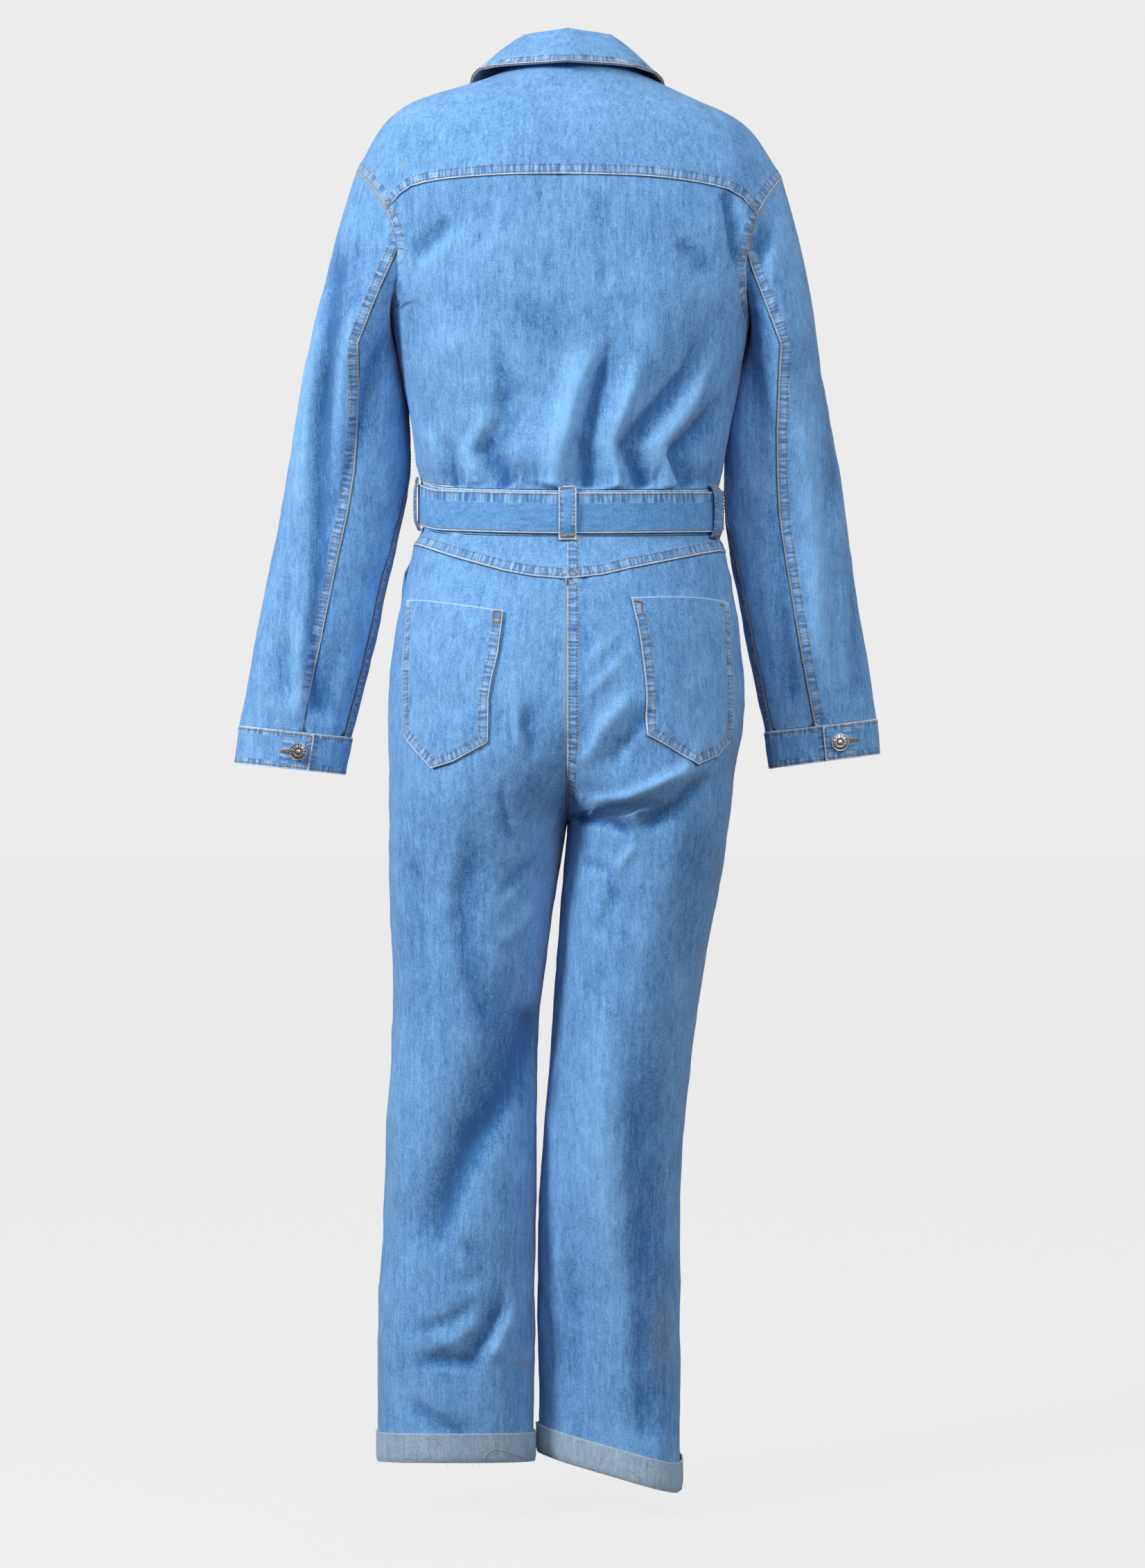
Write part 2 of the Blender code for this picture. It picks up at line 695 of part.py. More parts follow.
def sleeve_section(table, angle, share, folds=True):
    """A point of a sleeve or cuff. Angle 0 is its outer side, 90 its back, 180 its inner side."""
    outer = Vector((smooth(table, 1, share), 0, smooth(table, 2, share)))
    inner = Vector((smooth(table, 3, share), 0, smooth(table, 4, share)))
    back, front = smooth(table, 5, share), smooth(table, 6, share)
    turned = math.radians(angle)
    cos, sin = math.cos(turned), math.sin(turned)
    middle = (outer + inner) / 2 + Vector((0, (back + front) / 2, 0))
    half = (outer - inner) / 2
    deep = (front - back) / 2
    grow = 1.0
    if folds:
        for at, wide, start, end, depth in SLEEVE_FOLDS:
            away = (angle - at + 180) % 360 - 180
            fade = ease((share - start) / 0.2 + 0.4) * ease((end - share) / 0.2)
            grow += depth / 60 * math.exp(-(away / wide) ** 2) * fade
    return middle + grow * (half * power(cos, 2 / SLEEVE_SQUARE)
                            + Vector((0, -deep * power(sin, 2 / SLEEVE_SQUARE), 0)))


def seam_shifted(angle, share):
    """The under seam runs from the underarm towards the back of the sleeve."""
    low = UNDERARM_ANGLE + (SLEEVE_SEAM_LOW - UNDERARM_ANGLE) * ease(share * 1.4)
    return float(np.interp(angle % 360, [0, BACK_SLEEVE_SEAM_ANGLE, UNDERARM_ANGLE, 360],
                           [0, BACK_SLEEVE_SEAM_ANGLE, low, 360]))


def sleeve_points(side, angles):
    table = SLEEVE_LEFT if side < 0 else SLEEVE_RIGHT
    points = np.zeros((SLEEVE_ROWS + 1, len(angles), 3))
    for i, angle in enumerate(angles):
        turn, z = armhole(side, angle)
        start, out = outward(body_point, turn, z)
        step = ARMHOLE_STEP * (1 + 3 * max(0.3 - math.cos(math.radians(angle)), 0))
        start = start + (out if out.x * side > 0 else -out) * step
        for j in range(SLEEVE_ROWS + 1):
            if j >= CAP_ROWS:
                share = (j - CAP_ROWS) / (SLEEVE_ROWS - CAP_ROWS)
                points[j, i] = sleeve_section(table, seam_shifted(angle, share), share)
                continue
            share = j / CAP_ROWS
            end = sleeve_section(table, angle, 0.0)
            way = start.lerp(end, share)
            bulge = 5 * math.sin(math.pi * share)
            away = end - sum((sleeve_section(table, a, 0.0) for a in (0, 180)), Vector()) / 2
            points[j, i] = way + away.normalized() * bulge * max(math.cos(math.radians(angle)), 0)
    return points


def sleeve(side):
    end = "left" if side < 0 else "right"
    under = [a for a in ARM_BACK if a >= BACK_SLEEVE_SEAM_ANGLE]
    upper = ARM_FRONT + [360.0] + [360 + a for a in ARM_YOKE_BACK[1:]]
    upper += [360 + a for a in ARM_BACK[1:3]]
    for name, angles in (("sleeve_under_", under), ("sleeve_upper_", upper)):
        points = sleeve_points(side, angles)
        if side > 0:
            points = points[:, ::-1]
        skin(name + end, points[::-1])


# ---------------------------------------------------------------- bands: strips wound round an opening

def band(name, ring, start, end, steps, heights, lift, lap, wall, finish):
    """A strip wound from one angle to another, past a full circle by the lap. `ring(angle, share)` gives
    a point and its outward direction at a share of the band's height. The lapped end lies on top."""
    angles = np.linspace(start, end, steps + 1)
    outer = np.zeros((len(heights), steps + 1, 3))
    inner = outer.copy()
    for i, angle in enumerate(angles):
        ramp = ease((angle - (end - lap - 50)) / 50) * (wall + LAYER_GAP) if lap else 0
        for j, share in enumerate(heights):
            point, out = ring(angle, share)
            inner[j, i] = point + out * (lift + ramp)
            outer[j, i] = point + out * (lift + ramp + wall)
    return wall_object(name, outer, inner, finish)


def outward(place, first, second, step=1.0):
    """A point and outward normal of a surface, from small steps of its two values."""
    point = place(first, second)
    across = place(first + step, second) - place(first - step, second)
    along = place(first, second + step) - place(first, second - step)
    return point, across.cross(along).normalized()


def cuff(side):
    end = "left" if side < 0 else "right"
    table = CUFF_LEFT if side < 0 else CUFF_RIGHT

    def ring(angle, share):
        point = sleeve_section(table, angle, share, folds=False)
        middle = (sleeve_section(table, 0, share, False) + sleeve_section(table, 180, share, False)) / 2
        ahead = sleeve_section(table, angle + 1, share, False) - sleeve_section(table, angle - 1, share, False)
        axis = sleeve_section(table, angle, 1, False) - sleeve_section(table, angle, 0, False)
        out = ahead.cross(axis).normalized()
        return point, out if out.dot(point - middle) > 0 else -out

    lap = 22
    stop = 110 if side < 0 else 91
    band("cuff_" + end, ring, stop - 360 - lap, stop, 26, [0, 1], -WALL + 0.4, lap, 2.0, denim())
    point, out = ring(stop - 13, 0.52)
    button("cuff_button_" + end, point + out * (0.9 + 2.0 + LAYER_GAP), out, CUFF_BUTTON_RADIUS)


def button(name, foot, out, radius):
    """A turned metal shank button, standing on its short foot."""
    # distance from the axis, height above the cloth
    profile = [(radius * 0.42, 0.3), (radius * 0.42, 1.6), (radius, 2.2), (radius * 0.92, 3.9),
               (radius * 0.45, 3.4)]
    sides = 10
    side_x = out.orthogonal().normalized()
    side_y = out.cross(side_x)
    vertices = []
    for far, high in profile:
        for k in range(sides):
            turned = 2 * math.pi * k / sides
            vertices.append(foot + out * high + far * (side_x * math.cos(turned) + side_y * math.sin(turned)))
    faces = [list(reversed(range(sides)))]
    for j in range(len(profile) - 1):
        for k in range(sides):
            next_k = (k + 1) % sides
            faces.append([j * sides + k, j * sides + next_k, (j + 1) * sides + next_k, (j + 1) * sides + k])
    faces.append([(len(profile) - 1) * sides + k for k in range(sides)])
    make_object(name, vertices, faces, material("button_metal", METAL, 0.3, 1.0))


def waist_ring(angle, share):
    """The waistband's ring, down from the waist seam by the share of its depth."""
    turn = angle % 360
    top = waist_height(turn) - 0.5
    z = top - share * (WAISTBAND_DEEP - 1.0)
    point, out = outward(body_point, turn, z)
    flat = Vector((out.x, out.y, 0)).normalized()
    return point, flat if flat.dot(point) > 0 else -flat


def waistband():
    band("waistband", waist_ring, 90.6, 449.4, 48, [0, 1], -WALL, 0, WALL, denim())


BELT_LIFT = 3.6
BELT_WALL = 2.2


def belt_ring(angle, share):
    """The belt hangs round the waistband, a little below its top."""
    turn = angle % 360
    edge = (WAISTBAND_DEEP - BELT_DEEP) / 2
    z = waist_height(turn) - edge - share * BELT_DEEP
    point, out = outward(body_point, turn, waist_height(turn) - WAISTBAND_DEEP / 2)
    flat = Vector((out.x, out.y, 0)).normalized()
    point.z = z
    return point, flat if flat.dot(point) > 0 else -flat


def belt():
    band("belt", belt_ring, 62, 62 + 360 + 34, 56, [0, 1], BELT_LIFT, 34, BELT_WALL,
         material("belt_denim", DARK_DENIM, 0.85))


def belt_slide():
    """A plain metal slide round the two layers of the belt at the front."""
    out_to = BELT_LIFT + 2 * BELT_WALL + 2 * LAYER_GAP + 0.6
    frame_loop("belt_slide", 79, 8.0, BELT_LIFT - 0.35, out_to, 0.8, 1.4,
               material("button_metal", METAL, 0.3, 1.0))


def frame_loop(name, angle, wide, near, far, spare, thick, finish):
    """A closed loop round the belt: near and far are its insides, spare its room above and below."""
    point_top, out = belt_ring(angle, 0)
    point_low = belt_ring(angle, 1)[0]
    up = Vector((0, 0, 1))
    along = out.cross(up).normalized()
    middle = (point_top + point_low) / 2
    half = BELT_DEEP / 2 + spare
    inside = [(near, -half), (far, -half), (far, half), (near, half)]
    outside = [(near - thick / 2, -half - thick), (far + thick, -half - thick),
               (far + thick, half + thick), (near - thick / 2, half + thick)]
    vertices = []
    for across in (-wide / 2, wide / 2):
        for corners in (inside, outside):
            for away, high in corners:
                vertices.append(middle + out * away + up * high + along * across)
    faces = []
    for k in range(4):
        n = (k + 1) % 4
        faces.append([k, n, 4 + n, 4 + k])
        faces.append([8 + n, 8 + k, 12 + k, 12 + n])
        faces.append([n, k, 8 + k, 8 + n])
        faces.append([4 + k, 4 + n, 12 + n, 12 + k])
    make_object(name, vertices, faces, finish)


LOOP_WIDE = 17.5
LOOP_THICK = 1.8


def belt_loop(name, angle, stand_off):
    """A strip sewn above and below the belt, arched over it."""
    reach = BELT_DEEP / 2 + 6.5
    point_top, out = belt_ring(angle, 0)
    point_low = belt_ring(angle, 1)[0]
    middle = (point_top + point_low) / 2
    over = BELT_LIFT + BELT_WALL + stand_off
    ends = []
    for high in (reach, -reach):
        nearby = [body_point(angle + aside, middle.z + high) for aside in (-4, 0, 4)]
        ends.append(max((point - middle).dot(out) for point in nearby) + 1.6)
    # height from the belt's middle, distance out of the waistband's ring
    arch = [(reach, ends[0]), (BELT_DEEP / 2 + 1.2, max(ends[0], over - 1.5)), (BELT_DEEP / 2 - 4, over + 0.4),
            (0, over + 0.9), (4 - BELT_DEEP / 2, over + 0.4), (-BELT_DEEP / 2 - 1.2, max(ends[1], over - 1.5)),
            (-reach, ends[1])]
    up = Vector((0, 0, 1))
    along = out.cross(up).normalized()
    outer = np.zeros((len(arch), 3, 3))
    inner = outer.copy()
    for j, (high, away) in enumerate(arch):
        for i, across in enumerate((-LOOP_WIDE / 2, 0, LOOP_WIDE / 2)):
            base = middle + up * high + along * across
            inner[j, i] = base + out * away
            outer[j, i] = base + out * (away + LOOP_THICK)
    wall_object(name, outer, inner, denim())


# ---------------------------------------------------------------- the trousers

LEG_COLUMNS = 9
RISER_ROWS = 3
# Heights of the rows down the inner edge, from the seat to the hem
LEG_ROWS = [-570, -610, -645, -675, -700, -722, -740, -754, CROTCH_Z, -785, -815, -855, -900, -950, -1005,
            -1065, -1125, -1185, -1240, -1285, -1325, -1365]


def waistband_foot(angle):
    return waist_height(angle % 360) - WAISTBAND_DEEP


def riser_line(side):
    """The V seam of one half as the leg's angle and height, from the side to the middle of the back."""
    line = []
    middle_z = float(np.interp(MIDDLE_X, [x for x, z in RISER_SEAM], [z for x, z in RISER_SEAM]))
    end_z = RISER_SEAM[0][1] if side < 0 else RISER_SEAM[-1][1]
    for i in range(LEG_COLUMNS + 1):
        angle = 90 * i / LEG_COLUMNS
        x = body_point(180 + angle if side < 0 else 360 - angle, -505).x
        z = smooth(rising(RISER_SEAM), 1, x)
        z = end_z if i == 0 else middle_z if i == LEG_COLUMNS else z
        line.append((360 - angle, z))
    return line


def hem_height(side, angle):
    outer, inner = HEM_LEFT if side < 0 else HEM_RIGHT
    share = (1 - math.cos(math.radians(angle))) / 2
    return outer + (inner - outer) * share + HEM_RISE * max(-math.sin(math.radians(angle)), 0)


def hem_line(side, back, count):
    line = []
    for i in range(count + 1):
        angle = 360 - 180 * i / count if back else 180 * i / count
        line.append((angle, hem_height(side, angle)))
    return line


def leg_panel(side, back):
    end = "left" if side < 0 else "right"
    name = ("leg_back_" if back else "leg_front_") + end
    if back:
        top = riser_line(side)
    else:
        turn = 180 if side < 0 else 0
        top = []
        for i in range(LEG_COLUMNS + 1):
            angle = 90 * i / LEG_COLUMNS
            top.append((angle, waistband_foot(turn + (90 - turn) * i / LEG_COLUMNS)))
    bottom = hem_line(side, back, LEG_COLUMNS)
    rows = [top[-1][1]] + LEG_ROWS + [bottom[-1][1]]
    if not back:
        rows = [top[-1][1], -515] + rows[1:]
    inner = []
    for z in rows:
        angle = seat_angle(z)
        inner.append((360 - angle if back else angle, z))
    outer = []
    for j, z in enumerate(rows):
        high = ease((z - LEG_ROWS[1]) / (rows[0] - LEG_ROWS[1])) * (top[0][1] - rows[0])
        low = ease((LEG_ROWS[-4] - z) / (LEG_ROWS[-4] - rows[-1])) * (bottom[0][1] - rows[-1])
        outer.append((360.0 if back else 0.0, z + high + low))
    grid = patch(bottom, top, outer[::-1], inner[::-1])
    points = placed(grid, lambda angle, z: leg_point(side, angle, z))
    if (side < 0) != back:
        points = points[:, ::-1]
    skin(name, points)


def riser(side):
    end = "left" if side < 0 else "right"
    low = riser_line(side)
    high = []
    for angle, _ in low:
        turn = 180 + (360 - angle) if side < 0 else angle
        high.append((angle, waistband_foot(turn)))
    left = [(low[0][0], low[0][1] + (high[0][1] - low[0][1]) * j / RISER_ROWS) for j in range(RISER_ROWS + 1)]
    right = [(low[-1][0], low[-1][1] + (high[-1][1] - low[-1][1]) * j / RISER_ROWS)
             for j in range(RISER_ROWS + 1)]
    grid = patch(low, high, left, right)
    points = placed(grid, lambda angle, z: leg_point(side, angle, z))
    if side > 0:
        points = points[:, ::-1]
    skin("riser_" + end, points)


def turn_up(side):
    """The hem folded up on the outside: a band with a rounded foot that closes under the leg."""
    end = "left" if side < 0 else "right"
    # distance out of the leg's face, height above the leg's cut edge
    profile = [(0.8, TURN_UP_DEEP), (2.4, TURN_UP_DEEP), (3.2, TURN_UP_DEEP / 2), (3.2, 0.5),
               (1.4, -2.6), (-2.0, -2.4), (-2.0, -0.9), (0.8, -0.9)]
    count = 24
    vertices = []
    for i in range(count):
        angle = 360 * i / count
        z = hem_height(side, angle)
        point = leg_point(side, angle, z)
        ahead = leg_point(side, angle + 1, z) - leg_point(side, angle - 1, z)
        out = Vector((ahead.y, -ahead.x, 0)).normalized()
        middle = leg_point(side, 0, z).lerp(leg_point(side, 180, z), 0.5)
        out = out if out.dot(point - middle) > 0 else -out
        up = (leg_point(side, angle, z + TURN_UP_DEEP) - point) / TURN_UP_DEEP
        for away, high in profile:
            vertices.append(point + out * away + up * high)
    faces = []
    size = len(profile)
    for i in range(count):
        n = (i + 1) % count
        for k in range(size):
            m = (k + 1) % size
            faces.append([i * size + k, i * size + m, n * size + m, n * size + k])
    make_object("turn_up_" + end, vertices, faces, material("denim_wrong_side", WRONG_SIDE, 0.9))


# ---------------------------------------------------------------- what lies on a panel

def on_grid(panel, row, column):
    """A point and outward normal of a panel's own mesh at a fractional row and column."""
    points, normals = panel["outer"], panel["normals"]
    j = min(max(int(row), 0), points.shape[0] - 2)
    i = min(max(int(column), 0), points.shape[1] - 2)
    v, u = row - j, column - i
    weights = ((j, i, (1 - v) * (1 - u)), (j, i + 1, (1 - v) * u),
               (j + 1, i, v * (1 - u)), (j + 1, i + 1, v * u))
    point = sum(points[a, b] * w for a, b, w in weights)
    normal = sum(normals[a, b] * w for a, b, w in weights)
    return point, normal / np.linalg.norm(normal)


def place_on_panel(panel, x, z):
    """The fractional row and column of a panel's mesh at x and height z, found in a few steps."""
    rows, columns = (count - 1 for count in panel["outer"].shape[:2])
    row, column = rows / 2, columns / 2
    for _ in range(40):
        point = on_grid(panel, row, column)[0]
        ahead = on_grid(panel, min(row + 0.5, rows), column)[0] - on_grid(panel, max(row - 0.5, 0), column)[0]
        aside = (on_grid(panel, row, min(column + 0.5, columns))[0]
                 - on_grid(panel, row, max(column - 0.5, 0))[0])
        row = min(max(row + 0.7 * (z - point[2]) / ahead[2], 0), rows)
        column = min(max(column + 0.7 * (x - point[0]) / aside[0], 0), columns)
    return row, column


# A back pocket: height share down to its corners, and its outline's x at the inner and outer edge
# share down, outer x, outer z, inner x, inner z
POCKET_LEFT = [(0.0, -163, -542, -67, -556), (0.33, -165, -587, -72, -596), (0.66, -166, -631, -81, -640),
               (1.0, -165, -675, -82, -684)]
POCKET_RIGHT = [(0.0, 153, -545, 57, -543), (0.33, 155, -590, 66, -588), (0.66, 157, -635, 71, -633),
                (1.0, 156, -679, 72, -677)]
POCKET_GAP = 1.0
POCKET_ROWS = 6
POCKET_TIP = {"left": (-133, -713), "right": (126, -710)}


def pocket(side):
    """A patch pocket made from the seat panel's own columns, moved out."""
    end = "left" if side < 0 else "right"
    panel = skins["leg_back_" + end]
    table = POCKET_LEFT if side < 0 else POCKET_RIGHT
    tip_x, tip_z = POCKET_TIP[end]
    edges = []
    for j in range(POCKET_ROWS + 1):
        outer_x, outer_z, inner_x, inner_z = (smooth(table, column, j / POCKET_ROWS) for column in range(1, 5))
        edges.append((place_on_panel(panel, outer_x, outer_z), place_on_panel(panel, inner_x, inner_z)))
    first = max(min(a[1], b[1]) for a, b in edges)
    last = min(max(a[1], b[1]) for a, b in edges)
    kept = [k for k in range(panel["outer"].shape[1]) if first + 0.2 < k < last - 0.2]
    tip_row, tip_column = place_on_panel(panel, tip_x, tip_z)
    low = sorted(edges[-1], key=lambda edge: edge[1])
    tip_share = (tip_column - low[0][1]) / (low[1][1] - low[0][1])
    tip_drop = tip_row - (low[0][0] + (low[1][0] - low[0][0]) * tip_share)
    inner = np.zeros((POCKET_ROWS + 1, len(kept) + 2, 3))
    outer = inner.copy()
    for j, pair in enumerate(edges):
        (row_a, column_a), (row_b, column_b) = sorted(pair, key=lambda edge: edge[1])
        for i, column in enumerate([column_a] + kept + [column_b]):
            share = (column - column_a) / (column_b - column_a)
            sag = share / tip_share if share < tip_share else (1 - share) / (1 - tip_share)
            row = row_a + (row_b - row_a) * share + tip_drop * sag * (j / POCKET_ROWS) ** 3
            point, normal = on_grid(panel, row, column)
            inner[j, i] = point + normal * POCKET_GAP
            outer[j, i] = point + normal * (POCKET_GAP + WALL)
    wall_object("pocket_back_" + end, outer, inner, denim())


def front_strip(name, wide, heights, lift, finish):
    """A strip down the middle of the front, over the meeting edges of the panels."""
    outer = np.zeros((len(heights), 5, 3))
    inner = outer.copy()
    for j, z in enumerate(heights):
        for i, across in enumerate(np.linspace(-wide / 2, wide / 2, 5)):
            turn = turn_at_x(MIDDLE_X + across + 1e-3, z, back=False)
            place = body_point
            point, out = outward(place, turn, z)
            out = out if out.y > 0 else -out
            inner[j, i] = point + out * lift
            outer[j, i] = point + out * (lift + DOUBLE_WALL)
    wall_object(name, outer, inner, finish)


PLACKET_WIDE = 32.0
FRONT_BUTTONS = [-92, -168, -244, -320, -396]


def closure():
    placket = list(np.linspace(-74, waist_height(90) + 1.0, 15))
    front_strip("front_placket", PLACKET_WIDE, placket, 0.9, denim())
    fly = list(np.linspace(waistband_foot(90) - 2.0, -620, 8))
    front_strip("fly_front", PLACKET_WIDE, fly, 1.2, denim())
    for number, z in enumerate(FRONT_BUTTONS):
        point, out = outward(body_point, 90, z)
        out = out if out.y > 0 else -out
        button(f"front_button_{number + 1}", point + out * (0.9 + DOUBLE_WALL + 0.3), out, FRONT_BUTTON_RADIUS)


# ---------------------------------------------------------------- the collar

COLLAR_STEPS = 24
# Round the collar from the left front to the right front: share, fold's spread, fold's y, fold's z,
# leaf edge's spread, its y and its z
COLLAR = [
    (0.0, 12, 82, -50, 62, 111, -112),
    (0.1, 30, 75, -31, 82, 94, -76),
    (0.2, 45, 52, -3, 95, 64, -40),
    (0.3, 52, 22, 18, 99, 18, -14),
    (0.4, 49, -14, 27, 88, -36, -9),
    (0.5, 0, -44, 29, 0, -78, -11),
]


def collar_row(share):
    """The fold and the leaf's edge at a share of the way round, and the neckline under them."""
    side = -1 if share < 0.5 else 1
    way = share if share < 0.5 else 1 - share
    fold_x, fold_y, fold_z, edge_x, edge_y, edge_z = (smooth(COLLAR, column, way) for column in range(1, 7))
    tilt = -4 * ease((edge_x - 60) / 30) if side > 0 else 0
    fold = Vector((MIDDLE_X + side * fold_x, fold_y, fold_z))
    edge = Vector((MIDDLE_X + side * edge_x, edge_y, edge_z + tilt))
    return fold, edge


def neck_point(share):
    """The neckline from the middle of the front, by the left and the nape, back to the front."""
    front = front_neckline(-1, 20)
    back = back_neckline(40)
    right = [(turn + 360, z) for turn, z in front_neckline(1, 20)]
    line = list(reversed(front)) + back[1:-1] + right
    at = share * (len(line) - 1)
    i = min(int(at), len(line) - 2)
    t = at - i
    turn = line[i][0] * (1 - t) + line[i + 1][0] * t
    z = line[i][1] * (1 - t) + line[i + 1][1] * t
    return body_point(turn, z)


def even_ring(place, count, start, end):
    """Points in even steps along a curve."""
    fine = [place(start + (end - start) * k / 400) for k in range(401)]
    walked = [0.0]
    for k in range(400):
        walked.append(walked[-1] + (fine[k + 1] - fine[k]).length)
    line = np.array([list(point) for point in fine])
    steps = np.linspace(0, walked[-1], count + 1)
    return np.array([[np.interp(s, walked, line[:, axis]) for axis in range(3)] for s in steps])


def collar():
    neck = even_ring(neck_point, COLLAR_STEPS, 0.012, 0.988)
    fold = even_ring(lambda s: collar_row(s)[0], COLLAR_STEPS, 0.0, 1.0)
    edge = even_ring(lambda s: collar_row(s)[1], COLLAR_STEPS, 0.0, 1.0)
    lifted = neck + np.array([0, 0, 1.5])
    fold_inside = fold.copy()
    middle = fold.mean(axis=0)
    inward = middle - fold
    inward[:, 2] = 0
    inward /= np.linalg.norm(inward, axis=1, keepdims=True)
    fold_inside += inward * 2.6
    fold_inside[:, 2] -= 1.5
    stand = np.array([lifted + (fold_inside - lifted) * t for t in (0, 0.5, 1)])
    normals = grid_normals(stand)
    wall_object("collar_stand", stand, stand - normals * DOUBLE_WALL, denim())
    leaf = np.array([fold + (edge - fold) * t for t in (0, 0.12, 0.4, 0.7, 1)])
    leaf[1:4, :, 2] += np.array([2.5, 4.0, 2.5])[:, None]
    normals = grid_normals(leaf)
    wall_object("collar_leaf", leaf, leaf + normals * DOUBLE_WALL, denim())


# ---------------------------------------------------------------- put the garment together

back_panel()
yoke_back()
for way in (-1, 1):
    front_panel(way)
    sleeve(way)
    riser(way)
    leg_panel(way, back=True)
    leg_panel(way, back=False)
join_normals()
build_skins()
waistband()
belt()
belt_slide()
belt_loop("belt_loop_back", 270, 1.0)
belt_loop("belt_loop_left", 186, 1.6)
belt_loop("belt_loop_right", 339, 2.2)
belt_loop("belt_loop_front_left", 128, 1.2)
belt_loop("belt_loop_front_right", 48, 4.6)
for way in (-1, 1):
    cuff(way)
    turn_up(way)
    pocket(way)
closure()
collar()
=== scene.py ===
import json
import math

import bpy
import numpy as np
from mathutils import Matrix, Vector, kdtree, noise
from mathutils.bvhtree import BVHTree

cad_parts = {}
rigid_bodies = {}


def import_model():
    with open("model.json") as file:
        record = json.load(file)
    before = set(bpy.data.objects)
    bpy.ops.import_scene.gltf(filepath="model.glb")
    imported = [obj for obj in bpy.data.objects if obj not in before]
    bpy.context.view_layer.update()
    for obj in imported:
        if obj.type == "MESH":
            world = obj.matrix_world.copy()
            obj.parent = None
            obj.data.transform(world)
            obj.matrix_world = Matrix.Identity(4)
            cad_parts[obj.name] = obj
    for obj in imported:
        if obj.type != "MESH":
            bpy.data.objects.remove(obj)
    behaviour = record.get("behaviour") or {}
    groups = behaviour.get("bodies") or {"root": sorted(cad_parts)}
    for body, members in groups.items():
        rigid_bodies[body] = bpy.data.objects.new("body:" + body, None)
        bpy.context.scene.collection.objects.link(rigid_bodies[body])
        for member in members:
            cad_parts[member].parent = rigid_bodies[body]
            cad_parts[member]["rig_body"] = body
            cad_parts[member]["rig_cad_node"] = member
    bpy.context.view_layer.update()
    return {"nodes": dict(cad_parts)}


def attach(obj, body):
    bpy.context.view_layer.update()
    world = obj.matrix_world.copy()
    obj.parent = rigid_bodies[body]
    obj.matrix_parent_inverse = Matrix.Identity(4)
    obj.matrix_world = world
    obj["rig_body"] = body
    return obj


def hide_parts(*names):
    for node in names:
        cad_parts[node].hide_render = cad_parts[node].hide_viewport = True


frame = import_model()
solids = frame["nodes"]
bpy.ops.object.select_all(action="DESELECT")

# ---------------------------------------------------------------- back and yoke
# The back is one wide piece of washed blue denim under a shallow yoke, felled together with two rows
# of tan thread. The cloth blouses over the belt, so its folds run from the sides to the waist.

PIXEL = 0.0007
EYE = Vector((0.0, -3.2, -0.7245))
PICTURE_MIDDLE = (826, 1130)
PICTURE_TALL = 2263


def in_picture(points):
    """Where points of the cloth are seen: pixels across and down."""
    scale = PIXEL * (points[:, 1] - EYE.y) / -EYE.y
    across = PICTURE_MIDDLE[0] + points[:, 0] / scale
    down = PICTURE_MIDDLE[1] - (points[:, 2] - EYE.z) / scale
    return np.stack([across, down], axis=1)


def ease(t):
    t = np.clip(t, 0, 1)
    return t * t * (3 - 2 * t)


def ways_out(points, tube):
    """The way from the middle of a tube of cloth to each point: level, but upwards above the tube's top."""
    line, top = tube
    line = np.array(line)
    height = np.minimum(points[:, 2], top)
    way = np.zeros_like(points)
    for axis in (0, 1):
        way[:, axis] = points[:, axis] - np.interp(height, line[:, 0], line[:, axis + 1])
    way[:, 2] = points[:, 2] - height
    length = np.linalg.norm(way, axis=1, keepdims=True)
    return way / np.maximum(length, 1e-6)


def points_of(piece):
    co = np.zeros(len(piece.data.vertices) * 3)
    piece.data.vertices.foreach_get("co", co)
    return co.reshape(-1, 3)


def put_points(piece, points):
    piece.data.vertices.foreach_set("co", points.ravel())
    piece.data.update()


def alone(piece):
    bpy.ops.object.select_all(action="DESELECT")
    piece.select_set(True)
    bpy.context.view_layer.objects.active = piece


def cut_piece(node, levels, name=None):
    """A finer copy of a cut piece: the solid's own walls and edges, with round curves between its points."""
    piece = solids[node].copy()
    piece.data = piece.data.copy()
    piece.name = name or node + "_cloth"
    piece.parent = None
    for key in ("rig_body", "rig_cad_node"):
        del piece[key]
    bpy.context.collection.objects.link(piece)
    piece.hide_render = False
    piece.hide_set(False)
    alone(piece)
    bpy.ops.object.mode_set(mode="EDIT")
    bpy.ops.mesh.select_all(action="SELECT")
    bpy.ops.mesh.remove_doubles(threshold=0.00002)
    bpy.ops.mesh.tris_convert_to_quads(face_threshold=math.radians(50), shape_threshold=math.radians(70))
    bpy.ops.mesh.select_all(action="DESELECT")
    bpy.ops.mesh.edges_select_sharp(sharpness=math.radians(45))
    bpy.ops.transform.edge_crease(value=1)
    bpy.ops.object.mode_set(mode="OBJECT")
    finer = piece.modifiers.new("finer", "SUBSURF")
    finer.levels = levels
    finer.render_levels = levels
    bpy.ops.object.modifier_apply(modifier="finer")
    bpy.ops.object.shade_smooth_by_angle(angle=math.radians(40))
    return piece


